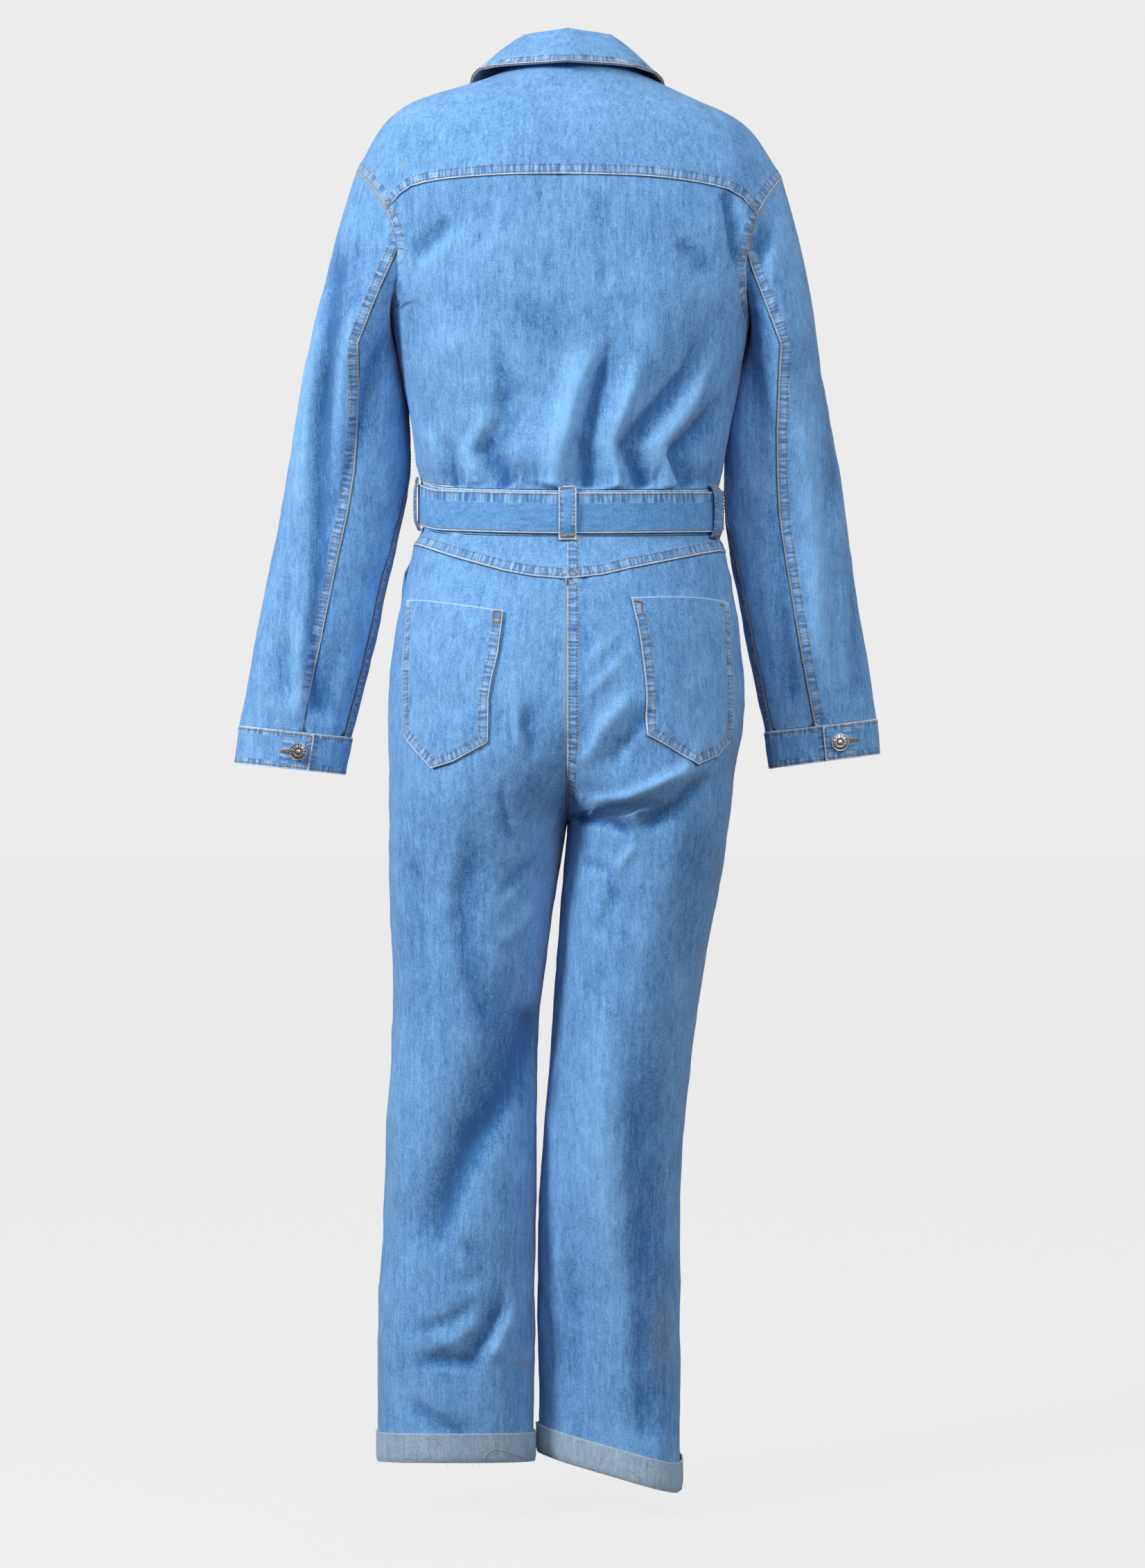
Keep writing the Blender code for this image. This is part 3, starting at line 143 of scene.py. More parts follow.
def crease(points, rows):
    """How far folds move the cloth out. A row is a line of pixels, its half width on each side and depth."""
    moved = np.zeros(len(points))
    for line, left, right, depth, start, end in rows:
        best = np.full(len(points), 1e9)
        part = np.zeros(len(points))
        side = np.zeros(len(points))
        line = np.array(line, float)
        lengths = np.hypot(*np.diff(line, axis=0).T)
        walked = 0.0
        for a, b, length in zip(line[:-1], line[1:], lengths):
            along = (b - a) / length
            away = points - a
            at = np.clip(away @ along, 0, length)
            off = away - at[:, None] * along
            far = np.hypot(off[:, 0], off[:, 1])
            nearer = far < best
            best = np.where(nearer, far, best)
            part = np.where(nearer, (walked + at) / lengths.sum(), part)
            side = np.where(nearer, along[0] * off[:, 1] - along[1] * off[:, 0], side)
            walked += length
        wide = np.where(side > 0, left, right)
        fade = ease(part / max(start, 1e-3)) * ease((1 - part) / max(end, 1e-3))
        moved += depth * fade * np.exp(-((best / wide) ** 2))
    return moved


FOLDED = 0.0018
RUMPLED = 0.6


def fold(piece, tube, rows, hidden=()):
    """Moves both faces of the cloth by its folds: those seen from the back, and like ones on the front."""
    points = points_of(piece)
    out = ways_out(points, tube)
    back = ease(-out[:, 1] * 2.2 + 0.15)
    front = ease(out[:, 1] * 2.2 + 0.15)
    moved = back * crease(in_picture(points), rows)
    if hidden:
        flat = np.stack([points[:, 0], points[:, 2]], axis=1) * 1000
        moved += front * crease(flat, hidden)
    moved += [RUMPLED * noise.fractal((x * 42, y * 42, z * 24), 0.9, 2.2, 3) for x, y, z in points]
    put_points(piece, points + out * moved[:, None] * FOLDED)
    # The fold's height is kept so the denim can paint shade in the valleys and light on the ridges, partly as
    # wash fading
    shade = piece.data.attributes.new("fold_shade", "FLOAT", "POINT")
    shade.data.foreach_set("value", moved.astype(np.float32))


def surface_of(piece):
    mesh = piece.data
    return BVHTree.FromPolygons([v.co for v in mesh.vertices], [p.vertices for p in mesh.polygons])


# Two faces that join make a sharp edge where the cosine between them is less
SHARP = 0.6


def face_pairs(piece, tube):
    """How far each face looks out of the garment, and each edge with its two faces and their cosine."""
    mesh = piece.data
    normals = np.array([p.normal[:] for p in mesh.polygons])
    centres = np.array([p.center[:] for p in mesh.polygons])
    outer = np.sum(normals * ways_out(centres, tube), axis=1)
    edge_of = np.array([c.edge_index for c in mesh.loops])
    face_of = np.repeat(np.arange(len(mesh.polygons)), [p.loop_total for p in mesh.polygons])
    order = np.argsort(edge_of, kind="stable")
    edge_of, face_of = edge_of[order], face_of[order]
    pairs = np.nonzero(edge_of[:-1] == edge_of[1:])[0]
    first, second = face_of[pairs], face_of[pairs + 1]
    return outer, edge_of[pairs], first, second, np.sum(normals[first] * normals[second], axis=1)


def edge_lines(piece, tube, neighbour=None, reach=0.004):
    """The cut edges of the outer face, longest first, or the part of them that runs beside a neighbour."""
    mesh = piece.data
    points = points_of(piece)
    outer, edges, first, second, agree = face_pairs(piece, tube)
    sharp = (agree < SHARP) & (np.maximum(outer[first], outer[second]) > 0.5)
    near = None
    if neighbour is not None:
        near = surface_of(neighbour)
    joined = {}
    for edge in edges[sharp]:
        a, b = mesh.edges[edge].vertices
        if near is not None:
            middle = Vector((points[a] + points[b]) / 2)
            if near.find_nearest(middle, reach)[0] is None:
                continue
        joined.setdefault(a, []).append(b)
        joined.setdefault(b, []).append(a)
    lines = []
    while joined:
        ends = [v for v, others in joined.items() if len(others) == 1]
        here = ends[0] if ends else next(iter(joined))
        line = [here]
        while joined.get(here):
            there = joined[here].pop()
            joined[there].remove(here)
            if not joined[here]:
                del joined[here]
            here = there
            line.append(here)
        joined.pop(here, None)
        if len(line) > 3:
            lines.append(points[line])
    return sorted(lines, key=lambda l: -np.linalg.norm(np.diff(l, axis=0), axis=1).sum())


def even(line, step):
    """Points at even steps along a line."""
    lengths = np.linalg.norm(np.diff(line, axis=0), axis=1)
    walked = np.concatenate([[0], np.cumsum(lengths)])
    count = max(int(round(walked[-1] / step)), 2)
    at = np.linspace(0, walked[-1], count + 1)
    return np.stack([np.interp(at, walked, line[:, k]) for k in range(3)], axis=1)


def row_beside(piece, tube, line, inset, lift=0.00015):
    """A line on the cloth's outer face at a distance in from an edge."""
    surface = surface_of(piece)
    line = even(line, 0.0025)
    run = np.gradient(line, axis=0)
    row = []
    for point, way, out in zip(line, run, ways_out(line, tube)):
        near = surface.find_nearest_range(Vector(point), 0.0012) or [surface.find_nearest(Vector(point))]
        normal = max((found[1] for found in near), key=lambda up: up @ Vector(out))
        side = normal.cross(Vector(way)).normalized()
        tries = []
        for sign in (1, -1):
            far = surface.find_nearest(Vector(point) + side * sign * 0.006)[3]
            tries.append((far, sign))
        sign = min(tries)[1]
        found, up, _, _ = surface.find_nearest(Vector(point) + side * sign * inset + normal * 0.0005)
        row.append(np.array(found + up * lift))
    return np.array(row)


# The two rows of stitches that hold a felled seam, in from its edge
FELLED_ROWS = (0.0018, 0.0088)


def rows_beside(piece, tube, lines, insets=FELLED_ROWS):
    """Rows of stitches along some edges, at each inset in turn."""
    return [row_beside(piece, tube, line, inset) for inset in insets for line in lines]


def run_of(line, held):
    """The longest run of a closed line's points that pass a test."""
    first = int(np.argmin(held))
    line = np.roll(line[:-1], -first, axis=0)
    held = np.roll(held[:-1], -first)
    turns = np.flatnonzero(np.diff(np.concatenate([[0], held.astype(int), [0]])))
    start, end = max(zip(turns[::2], turns[1::2]), key=lambda run: run[1] - run[0])
    return line[start:end]


def beside(points, lines, step=0.001):
    """How far each point is from the nearest of some lines, and how far along it lies."""
    if not len(lines):
        return np.full(len(points), 1.0), np.zeros(len(points))
    samples = [even(line, step) for line in lines]
    walked = np.concatenate([np.arange(len(line)) * step + i * 7.3 for i, line in enumerate(samples)])
    samples = np.concatenate(samples)
    tree = kdtree.KDTree(len(samples))
    for i, point in enumerate(samples):
        tree.insert(point, i)
    tree.balance()
    found = [tree.find(point) for point in points]
    return np.array([f[2] for f in found]), walked[[f[1] for f in found]]


def outward_share(piece, tube):
    """Each vertex's normal, and how much of it points out of the garment."""
    normals = np.zeros(len(piece.data.vertices) * 3)
    piece.data.vertex_normals.foreach_get("vector", normals)
    normals = normals.reshape(-1, 3)
    return normals, np.sum(normals * ways_out(points_of(piece), tube), axis=1)


def drawn_to(piece, neighbour):
    """Draws the cut edge of a piece against its neighbour, where a plain seam joins them."""
    points = points_of(piece)
    surface = surface_of(neighbour)
    for i, point in enumerate(points):
        found = surface.find_nearest(Vector(point), 0.0015)[0]
        if found is not None:
            points[i] = point + (np.array(found) - point) * 1.1
    put_points(piece, points)


def felled(piece, tube, lines, wide=0.0105, thick=0.0007, pucker=0.0004):
    """A felled seam: the cloth is thicker beside its edge and drawn into small puckers by the thread."""
    points = points_of(piece)
    normals, outer = outward_share(piece, tube)
    far, along = beside(points, lines)
    raised = thick * ease((wide - far) / 0.0018 + 0.5)
    wave = np.sin(along * 700 + 2.1 * np.sin(along * 61)) * (0.6 + 0.4 * np.sin(along * 37))
    puckered = pucker * wave * np.exp(-(((far - wide * 0.6) / (wide * 0.8)) ** 2))
    put_points(piece, points + normals * ((raised + puckered) * ease(outer * 3))[:, None])


def wrong_side(piece, tube):
    """One on the face of the wall that looks into the garment, found face by joined face."""
    mesh = piece.data
    outer, _, first, second, agree = face_pairs(piece, tube)
    smooth = agree > SHARP
    first, second = first[smooth], second[smooth]
    region = np.arange(len(mesh.polygons))
    while True:
        least = region.copy()
        np.minimum.at(least, first, region[second])
        np.minimum.at(least, second, region[first])
        least = least[least]
        if (least == region).all():
            break
        region = least
    faces = np.bincount(region, minlength=len(region))
    lean = np.bincount(region, weights=outer, minlength=len(region)) / np.maximum(faces, 1)
    hidden = (lean < -0.25) & (faces > 0.08 * len(faces))
    inside = np.zeros(len(mesh.vertices))
    for face, value in zip(mesh.polygons, hidden[region]):
        if value:
            inside[list(face.vertices)] = 1
    return inside


def mark(piece, tube, edges, seams=(), wide=0.0098, stains=(), under=()):
    """What the cloth's finish needs: how far its edges and seams are, its stains, its wrong side, and how far
    it is from the edges of pieces lying over it, beside which a painted shadow goes.
    """
    points = points_of(piece)
    seam_far, seam_along = beside(points, seams)
    soiled = np.zeros(len(points))
    for across, down, half_wide, half_high, strong in stains:
        off = (in_picture(points) - (across, down)) / (half_wide, half_high)
        soiled = np.maximum(soiled, strong * np.exp(-np.sum(off**2, axis=1)) * (points[:, 1] < 0))
    values = {
        "edge_far": beside(points, edges)[0],
        "seam_far": seam_far * 0.0098 / wide,
        "seam_along": seam_along,
        # Distance to the edges of overlying pieces, where the denim paints a shadow
        "cast_shadow_far": beside(points, under)[0],
        "wrong_side": wrong_side(piece, tube),
        "stain": soiled,
    }
    for name, value in values.items():
        found = piece.data.attributes.new(name, "FLOAT", "POINT")
        found.data.foreach_set("value", value.astype(np.float32))


def add_node(tree, kind, **values):
    made = tree.nodes.new(kind)
    for key, value in values.items():
        if hasattr(made, key):
            setattr(made, key, value)
        else:
            made.inputs[key.replace("_", " ")].default_value = value
    return made


def denim_group():
    """Washed denim as a node group: warp and weft slubs, a fine tooth, soft fading with painted shade in fold
    valleys and painted light on fold ridges, worn edges, and a painted shadow beside the edges of pieces
    lying over it.
    """
    tree = bpy.data.node_groups.new("washed_denim", "ShaderNodeTree")
    sockets = tree.interface
    for name, kind in (("Vector", "Vector"), ("Deep", "Color"), ("Light", "Color"), ("Pale", "Color"),
                       ("Wrong Side", "Color"), ("Slub", "Float")):
        sockets.new_socket(name=name, in_out="INPUT", socket_type="NodeSocket" + kind)
    for name, kind in (("Color", "Color"), ("Height", "Float"), ("Roughness", "Float")):
        sockets.new_socket(name=name, in_out="OUTPUT", socket_type="NodeSocket" + kind)
    given = tree.nodes.new("NodeGroupInput")
    result = tree.nodes.new("NodeGroupOutput")
    link = tree.links.new

    def noise(scale, detail, stretch=(1, 1, 1)):
        stretched = add_node(tree, "ShaderNodeVectorMath", operation="MULTIPLY")
        stretched.inputs[1].default_value = stretch
        link(given.outputs["Vector"], stretched.inputs[0])
        made = add_node(tree, "ShaderNodeTexNoise", Scale=scale, Detail=detail, Roughness=0.6)
        link(stretched.outputs[0], made.inputs["Vector"])
        return made.outputs["Fac"]

    def total(parts, start):
        """The start, and each value's difference from a half times its share."""
        last = start - sum(share for _, share in parts) / 2
        for value, share in parts:
            made = add_node(tree, "ShaderNodeMath", operation="MULTIPLY_ADD")
            link(value, made.inputs[0])
            made.inputs[1].default_value = share
            if isinstance(last, float):
                made.inputs[2].default_value = last
            else:
                link(last, made.inputs[2])
            last = made.outputs[0]
        return last

    def blend(share, first, second):
        made = add_node(tree, "ShaderNodeMix", data_type="RGBA")
        link(share, made.inputs["Factor"])
        link(first, made.inputs[6])
        link(second, made.inputs[7])
        return made.outputs[2]

    warp = noise(1100, 3, (1, 1, 0.09))
    weft = noise(1000, 3, (0.22, 0.22, 1))
    tooth = noise(620, 4)
    streak = noise(260, 4, (1, 1, 0.06))
    cloud = noise(22, 5)
    fade = noise(5, 2)
    mottle = noise(150, 4, (1, 1, 0.45))
    slubs = total([(warp, 1.5), (weft, 0.7), (tooth, 1.7), (streak, 1.1), (mottle, 1.0)], 0.5)
    scaled = add_node(tree, "ShaderNodeMath", operation="MULTIPLY_ADD")
    link(slubs, scaled.inputs[0])
    link(given.outputs["Slub"], scaled.inputs[1])
    fold_shade = add_node(tree, "ShaderNodeAttribute", attribute_name="fold_shade").outputs["Fac"]
    # Painted shade in the fold valleys and painted light on the ridges, from the fold's height, partly
    # standing for wash fading, mixed with the random fading
    soft = total([(cloud, 0.5), (fade, 0.3), (fold_shade, 0.12)], 0.26)
    link(soft, scaled.inputs[2])
    scaled.use_clamp = True
    cloth = blend(scaled.outputs[0], given.outputs["Deep"], given.outputs["Light"])

    def attribute(name):
        return add_node(tree, "ShaderNodeAttribute", attribute_name=name).outputs["Fac"]

    def within(value, near, far):
        """One below the nearer distance and nothing past the farther one, in metres."""
        made = add_node(tree, "ShaderNodeMapRange", interpolation_type="SMOOTHSTEP")
        link(value, made.inputs["Value"])
        for socket, number in (("From Min", near), ("From Max", far), ("To Min", 1.0), ("To Max", 0.0)):
            made.inputs[socket].default_value = number
        return made.outputs["Result"]

    def product(first, second):
        made = add_node(tree, "ShaderNodeMath", operation="MULTIPLY")
        made.use_clamp = True
        link(first, made.inputs[0])
        if isinstance(second, float):
            made.inputs[1].default_value = second
        else:
            link(second, made.inputs[1])
        return made.outputs[0]

    edge_far = attribute("edge_far")
    seam_far = attribute("seam_far")
    ladder_place = add_node(tree, "ShaderNodeCombineXYZ")
    link(attribute("seam_along"), ladder_place.inputs["X"])
    link(product(seam_far, 0.12), ladder_place.inputs["Y"])
    ladder = add_node(tree, "ShaderNodeTexNoise", Scale=330, Detail=1)
    link(ladder_place.outputs[0], ladder.inputs["Vector"])
    in_band = within(seam_far, 0.0092, 0.0108)
    troughs = total([(ladder.outputs["Fac"], 3.4)], 0.35)
    crests = total([(ladder.outputs["Fac"], -3.4)], 0.16)
    cloth = blend(product(product(troughs, in_band), 0.8), cloth, given.outputs["Deep"])
    cloth = blend(product(product(crests, in_band), 0.5), cloth, given.outputs["Pale"])
    speckle = total([(noise(420, 3), 1.2), (noise(60, 2), 0.8)], 0.85)
    worn = product(product(within(edge_far, 0.0008, 0.0018), speckle), 0.9)
    cloth = blend(worn, cloth, given.outputs["Pale"])
    # Painted shadow: dark navy blended into the cloth beside the edges of pieces lying over it
    shade = add_node(tree, "ShaderNodeRGB")
    shade.outputs[0].default_value = (0.008, 0.022, 0.060, 1)
    cloth = blend(product(within(attribute("cast_shadow_far"), 0.0009, 0.0026), 0.85), cloth, shade.outputs[0])
    brown = add_node(tree, "ShaderNodeRGB")
    brown.outputs[0].default_value = (0.23, 0.21, 0.19, 1)
    cloth = blend(product(attribute("stain"), total([(noise(90, 4), 2.4)], 0.6)), cloth, brown.outputs[0])
    cloth = blend(product(attribute("wrong_side"), 1.0), cloth, given.outputs["Wrong Side"])
    puckers = product(ladder.outputs["Fac"], in_band)
    height = total([(slubs, 0.5), (puckers, -2.4)], 0.5)
    link(cloth, result.inputs["Color"])
    link(height, result.inputs["Height"])
    rough = total([(slubs, 0.1)], 0.86)
    link(rough, result.inputs["Roughness"])
    return tree


WASHED_DENIM = denim_group()


def plain_material(name, **values):
    """A new material with its nodes and shader, and the values given set on the shader's sockets."""
    made = bpy.data.materials.new(name)
    made.use_nodes = True
    shader = made.node_tree.nodes["Principled BSDF"]
    for socket, value in values.items():
        shader.inputs[socket.replace("_", " ")].default_value = value
    return made, made.node_tree, shader


def denim(name, deep, light, pale=(0.52, 0.68, 0.84), wrong_side=(0.24, 0.36, 0.46), grain=0.0, slub=0.6):
    """A denim whose warp runs down the cloth, turned by the grain's angle in the picture's plane."""
    made, tree, shader = plain_material(name, Sheen_Weight=0.12, Sheen_Roughness=0.6, Specular_IOR_Level=0.18)
    place = add_node(tree, "ShaderNodeTexCoord")
    turned = add_node(tree, "ShaderNodeMapping", Rotation=(0, grain, 0))
    cloth = add_node(tree, "ShaderNodeGroup")
    cloth.node_tree = WASHED_DENIM
    for socket, value in (("Deep", deep), ("Light", light), ("Pale", pale), ("Wrong Side", wrong_side)):
        cloth.inputs[socket].default_value = (*value, 1)
    cloth.inputs["Slub"].default_value = slub
    bump = add_node(tree, "ShaderNodeBump", Strength=0.5, Distance=0.0005)
    link = tree.links.new
    link(place.outputs["Object"], turned.inputs["Vector"])
    link(turned.outputs[0], cloth.inputs["Vector"])
    link(cloth.outputs["Color"], shader.inputs["Base Color"])
    link(cloth.outputs["Roughness"], shader.inputs["Roughness"])
    link(cloth.outputs["Height"], bump.inputs["Height"])
    link(bump.outputs[0], shader.inputs["Normal"])
    return made


MID_BLUE = denim("mid_blue_denim", (0.038, 0.150, 0.38), (0.255, 0.53, 0.90))


def sewn(piece, node, finish):
    """Finishes a cut piece: its cloth, and the solid it stands for."""
    piece.data.materials.clear()
    piece.data.materials.append(finish)
    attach(piece, "root")
    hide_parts(node)


def thread_material(name, colour):
    made, tree, shader = plain_material(name, Specular_IOR_Level=0.3, Roughness=0.6)
    place = add_node(tree, "ShaderNodeTexCoord")
    lengths = add_node(tree, "ShaderNodeTexNoise", Scale=140, Detail=2)
    tone = add_node(tree, "ShaderNodeValToRGB")
    tone.color_ramp.elements[0].color = (*[c * 0.6 for c in colour], 1)
    tone.color_ramp.elements[0].position = 0.3
    tone.color_ramp.elements[1].color = (*colour, 1)
    tone.color_ramp.elements[1].position = 0.65
    tree.links.new(place.outputs["Object"], lengths.inputs["Vector"])
    tree.links.new(lengths.outputs["Fac"], tone.inputs["Fac"])
    tree.links.new(tone.outputs["Color"], shader.inputs["Base Color"])
    return made


TAN_THREAD = thread_material("tan_thread", (0.47, 0.23, 0.075))
PALE_THREAD = thread_material("pale_thread", (0.50, 0.47, 0.42))


def stitch():
    """One stitch, lying along x: a short thread that dives into the cloth at both ends."""
    bpy.ops.object.select_all(action="DESELECT")
    bpy.ops.mesh.primitive_uv_sphere_add(segments=4, ring_count=3, radius=1)
    one = bpy.context.object
    bpy.ops.object.mode_set(mode="EDIT")
    bpy.ops.mesh.select_all(action="SELECT")
    bpy.ops.transform.rotate(value=math.pi / 2, orient_axis="Y", center_override=(0, 0, 0))
    bpy.ops.transform.resize(value=(0.5, 1, 1), center_override=(0, 0, 0))
    bpy.ops.object.mode_set(mode="OBJECT")
    shape = points_of(one)
    faces = [p.vertices[:] for p in one.data.polygons]
    bpy.data.objects.remove(one)
    return shape, faces


STITCH, STITCH_FACES = stitch()


def threads(name, points, faces, finish):
    """Makes one piece of many threads."""
    made = bpy.data.meshes.new(name)
    made.from_pydata([tuple(p) for p in points], [], faces)
    made.materials.append(finish)
    piece = bpy.data.objects.new(name, made)
    bpy.context.collection.objects.link(piece)
    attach(piece, "root")
    return piece


def stitched(name, rows, finish, cloth, length=0.0030, pitch=0.0035, thick=0.00050, across=False):
    """Copies the stitch along rows, each a line of points just above the cloth, or closely across them."""
    surface = surface_of(cloth)
    points = []
    faces = []
    for row in rows:
        row = even(row, pitch)
        run = np.gradient(row, axis=0)
        for i in range(len(row) - 1):
            middle = (row[i] + row[i + 1]) / 2
            way = Vector(run[i]).normalized()
            _, up, _, _ = surface.find_nearest(Vector(middle))
            if up is None:
                continue
            side = up.cross(way).normalized()
            up = way.cross(side)
            if across:
                way, side = side, -way
            frame_of = np.array([way * length, side * thick, up * thick])
            start = len(points)
            points.extend(STITCH @ frame_of + middle)
            faces.extend([tuple(v + start for v in face) for face in STITCH_FACES])
    sewing = threads(name, points, faces, finish)
    sewing.data.polygons.foreach_set("use_smooth", [True] * len(faces))


# How far the middle of a thread lies above the cloth
ABOVE_CLOTH = 0.00025


def lifted(surface, point):
    found, up, _, _ = surface.find_nearest(Vector(point))
    return np.array(found + up * ABOVE_CLOTH)


def seen_on(cloth, line):
    """The points of the cloth that are seen at pixels of the picture, a step apart."""
    surface = surface_of(cloth)
    row = []
    for across, down in line:
        target = Vector(((across - PICTURE_MIDDLE[0]) * PIXEL, 0, EYE.z + (PICTURE_MIDDLE[1] - down) * PIXEL))
        found, up, _, _ = surface.ray_cast(EYE, (target - EYE).normalized())
        if found is not None:
            row.append(np.array(found + up * ABOVE_CLOTH))
    return np.array([lifted(surface, point) for point in even(np.array(row), 0.001)])


def tacked(name, lines, cloth, wide=0.0020):
    """Bar tacks: short thick bars of close stitches, between pairs of pixels on the cloth."""
    rows = [seen_on(cloth, line) for line in lines]
    stitched(name, rows, TAN_THREAD, cloth, length=wide, pitch=0.0008, thick=0.0006, across=True)


BODY_TUBE = ([(-0.90, -0.005, 0.0), (0.10, -0.005, 0.0)], -0.15)

# Each crease: its line in pixels, half widths on its two sides, depth in millimetres, fade at each end
BACK_CREASES = [
    ([(715, 450), (716, 530), (728, 600), (697, 652), (730, 704)], 9, 22, -4.0, 0.5, 0.02),
    ([(690, 560), (700, 610), (680, 650), (690, 700)], 16, 9, 2.4, 0.4, 0.05),
    ([(862, 478), (832, 560), (812, 640), (802, 704)], 24, 11, 4.2, 0.35, 0.02),
    ([(893, 468), (862, 560), (842, 640), (848, 704)], 9, 18, -4.4, 0.35, 0.02),
    ([(935, 500), (902, 580), (880, 640), (892, 704)], 18, 10, 3.2, 0.4, 0.02),
    ([(1022, 458), (990, 540), (925, 615), (905, 642), (930, 704)], 10, 18, -4.8, 0.35, 0.02),
    ([(1035, 495), (992, 590), (950, 640), (968, 704)], 20, 10, 3.4, 0.4, 0.02),
    ([(1056, 560), (1000, 625), (966, 656), (996, 704)], 9, 16, -3.8, 0.4, 0.02),
    ([(760, 560), (728, 610), (700, 648)], 18, 10, 2.6, 0.4, 0.3),
    ([(652, 306), (615, 345), (588, 378)], 9, 16, -2.4, 0.3, 0.3),
    ([(675, 322), (635, 365), (600, 400)], 14, 12, 1.6, 0.3, 0.3),
    ([(968, 342), (1005, 362), (1035, 402)], 16, 9, -2.0, 0.4, 0.3),
    ([(1046, 272), (1058, 335), (1067, 400)], 7, 8, -3.0, 0.1, 0.3),
    ([(1070, 285), (1075, 330), (1073, 380)], 7, 7, 2.0, 0.2, 0.3),
    ([(790, 345), (792, 380), (796, 420)], 6, 9, -1.3, 0.5, 0.5),
    ([(873, 350), (876, 390), (868, 430)], 6, 9, -1.2, 0.5, 0.5),
    ([(826, 270), (866, 290), (864, 330)], 4, 6, -0.7, 0.5, 0.5),
    ([(700, 440), (770, 470), (850, 462)], 26, 30, -1.6, 0.4, 0.4),
    ([(610, 420), (590, 450), (596, 520)], 12, 14, -1.6, 0.4, 0.4),
    ([(628, 628), (648, 650), (652, 704)], 8, 10, -2.2, 0.4, 0.05),
    ([(606, 610), (626, 640), (640, 690)], 9, 8, 1.6, 0.4, 0.2),
]


def gathers(first, last, top, foot, gap, depth, lean=0.0, seed=1):
    """A row of small uneven gathers between two places across the picture."""
    rng = np.random.default_rng(seed)
    rows = []
    across = first
    while across < last:
        tall = (foot - top) * rng.uniform(0.5, 1.0)
        sway = rng.uniform(-6, 6) + lean * tall
        line = [(across + sway, foot - tall), (across + sway * 0.4, foot - tall * 0.4), (across, foot)]
        rows.append((line, rng.uniform(2.5, 5), rng.uniform(3, 6), -depth * rng.uniform(0.4, 1.2), 0.6, 0.02))
        across += gap * rng.uniform(0.6, 1.4)
    return rows


HIDDEN_CREASES = [
    ([(-120, -300), (-80, -400), (-70, -424)], 9, 12, -2.4, 0.3, 0.05),
    ([(-60, -330), (-45, -424)], 7, 9, -2.0, 0.4, 0.05),
    ([(112, -295), (74, -424)], 9, 12, -2.4, 0.3, 0.05),
    ([(50, -340), (36, -424)], 7, 9, -1.8, 0.4, 0.05),
    ([(-150, -230), (-95, -300)], 10, 8, -1.6, 0.4, 0.5),
    ([(145, -230), (92, -300)], 10, 8, -1.6, 0.4, 0.5),
    ([(-95, -330), (-62, -385), (-52, -424)], 12, 8, 1.8, 0.4, 0.05),
    ([(88, -335), (55, -385), (48, -424)], 12, 8, 1.8, 0.4, 0.05),
    ([(-128, -170), (-100, -230), (-88, -290)], 12, 9, -1.6, 0.4, 0.5),
    ([(122, -175), (98, -240), (84, -300)], 12, 9, -1.5, 0.4, 0.5),
    ([(-100, -90), (-70, -120), (-45, -170)], 14, 12, -1.2, 0.4, 0.5),
]

back = cut_piece("back_panel", 3, "back_cloth")
yoke = cut_piece("yoke_back", 3, "yoke_cloth")
waist_gathers = gathers(640, 1030, 655, 700, 14, 1.5, seed=4)
fold(back, BODY_TUBE, BACK_CREASES + waist_gathers)
yoke_foot = edge_lines(yoke, BODY_TUBE, solids["back_panel"])[0]
SLEEVE_NAMES = ("sleeve_upper_left", "sleeve_upper_right", "sleeve_under_left", "sleeve_under_right")
yoke_arms = [edge_lines(yoke, BODY_TUBE, solids[name])[0] for name in SLEEVE_NAMES[:2]]
back_arms = [edge_lines(back, BODY_TUBE, solids[name])[0] for name in SLEEVE_NAMES]
felled(yoke, BODY_TUBE, [yoke_foot] + yoke_arms)
felled(back, BODY_TUBE, back_arms)
waist_seam = edge_lines(back, BODY_TUBE, solids["waistband"])[0]
yoke_seam = edge_lines(back, BODY_TUBE, solids["yoke_back"])[0]
# The back gets a painted shadow beside the yoke's edge
mark(back, BODY_TUBE, [waist_seam] + back_arms, back_arms, under=[yoke_seam])
mark(yoke, BODY_TUBE, edge_lines(yoke, BODY_TUBE), [yoke_foot] + yoke_arms)
sewn(back, "back_panel", MID_BLUE)
sewn(yoke, "yoke_back", MID_BLUE)
stitched("yoke_stitching", rows_beside(yoke, BODY_TUBE, [yoke_foot] + yoke_arms), TAN_THREAD, yoke)
back_rows = rows_beside(back, BODY_TUBE, back_arms) + rows_beside(back, BODY_TUBE, [waist_seam], [0.0022])
stitched("back_stitching", back_rows, TAN_THREAD, back)

# ---------------------------------------------------------------- fronts and closure
# Two plain fronts, cut like the back. The right one carries a doubled placket down its edge, and
# the trousers go on below it with a curved fly shield.

SIDES = ("left", "right")

for side in SIDES:
    name = "front_" + side
    front = cut_piece(name, 2)
    fold(front, BODY_TUBE, [], HIDDEN_CREASES)
    drawn_to(front, back)
    mark(front, BODY_TUBE, edge_lines(front, BODY_TUBE))
    sewn(front, name, MID_BLUE)

for node, flat in (("front_placket", (0.034, 0.36)), ("fly_front", (0.036, 0.17))):
    strip = cut_piece(node, 2)
    lines = edge_lines(strip, BODY_TUBE)
    mark(strip, BODY_TUBE, lines)
    sewn(strip, node, MID_BLUE)
    stitched(node + "_stitching", [row_beside(strip, BODY_TUBE, lines[0], 0.002)], TAN_THREAD, strip)

# ---------------------------------------------------------------- sleeves and cuffs
# Each sleeve is an upper and an under piece, set into the armhole flat and felled. The cuffs are
# doubled strips that lap and close with a metal button.

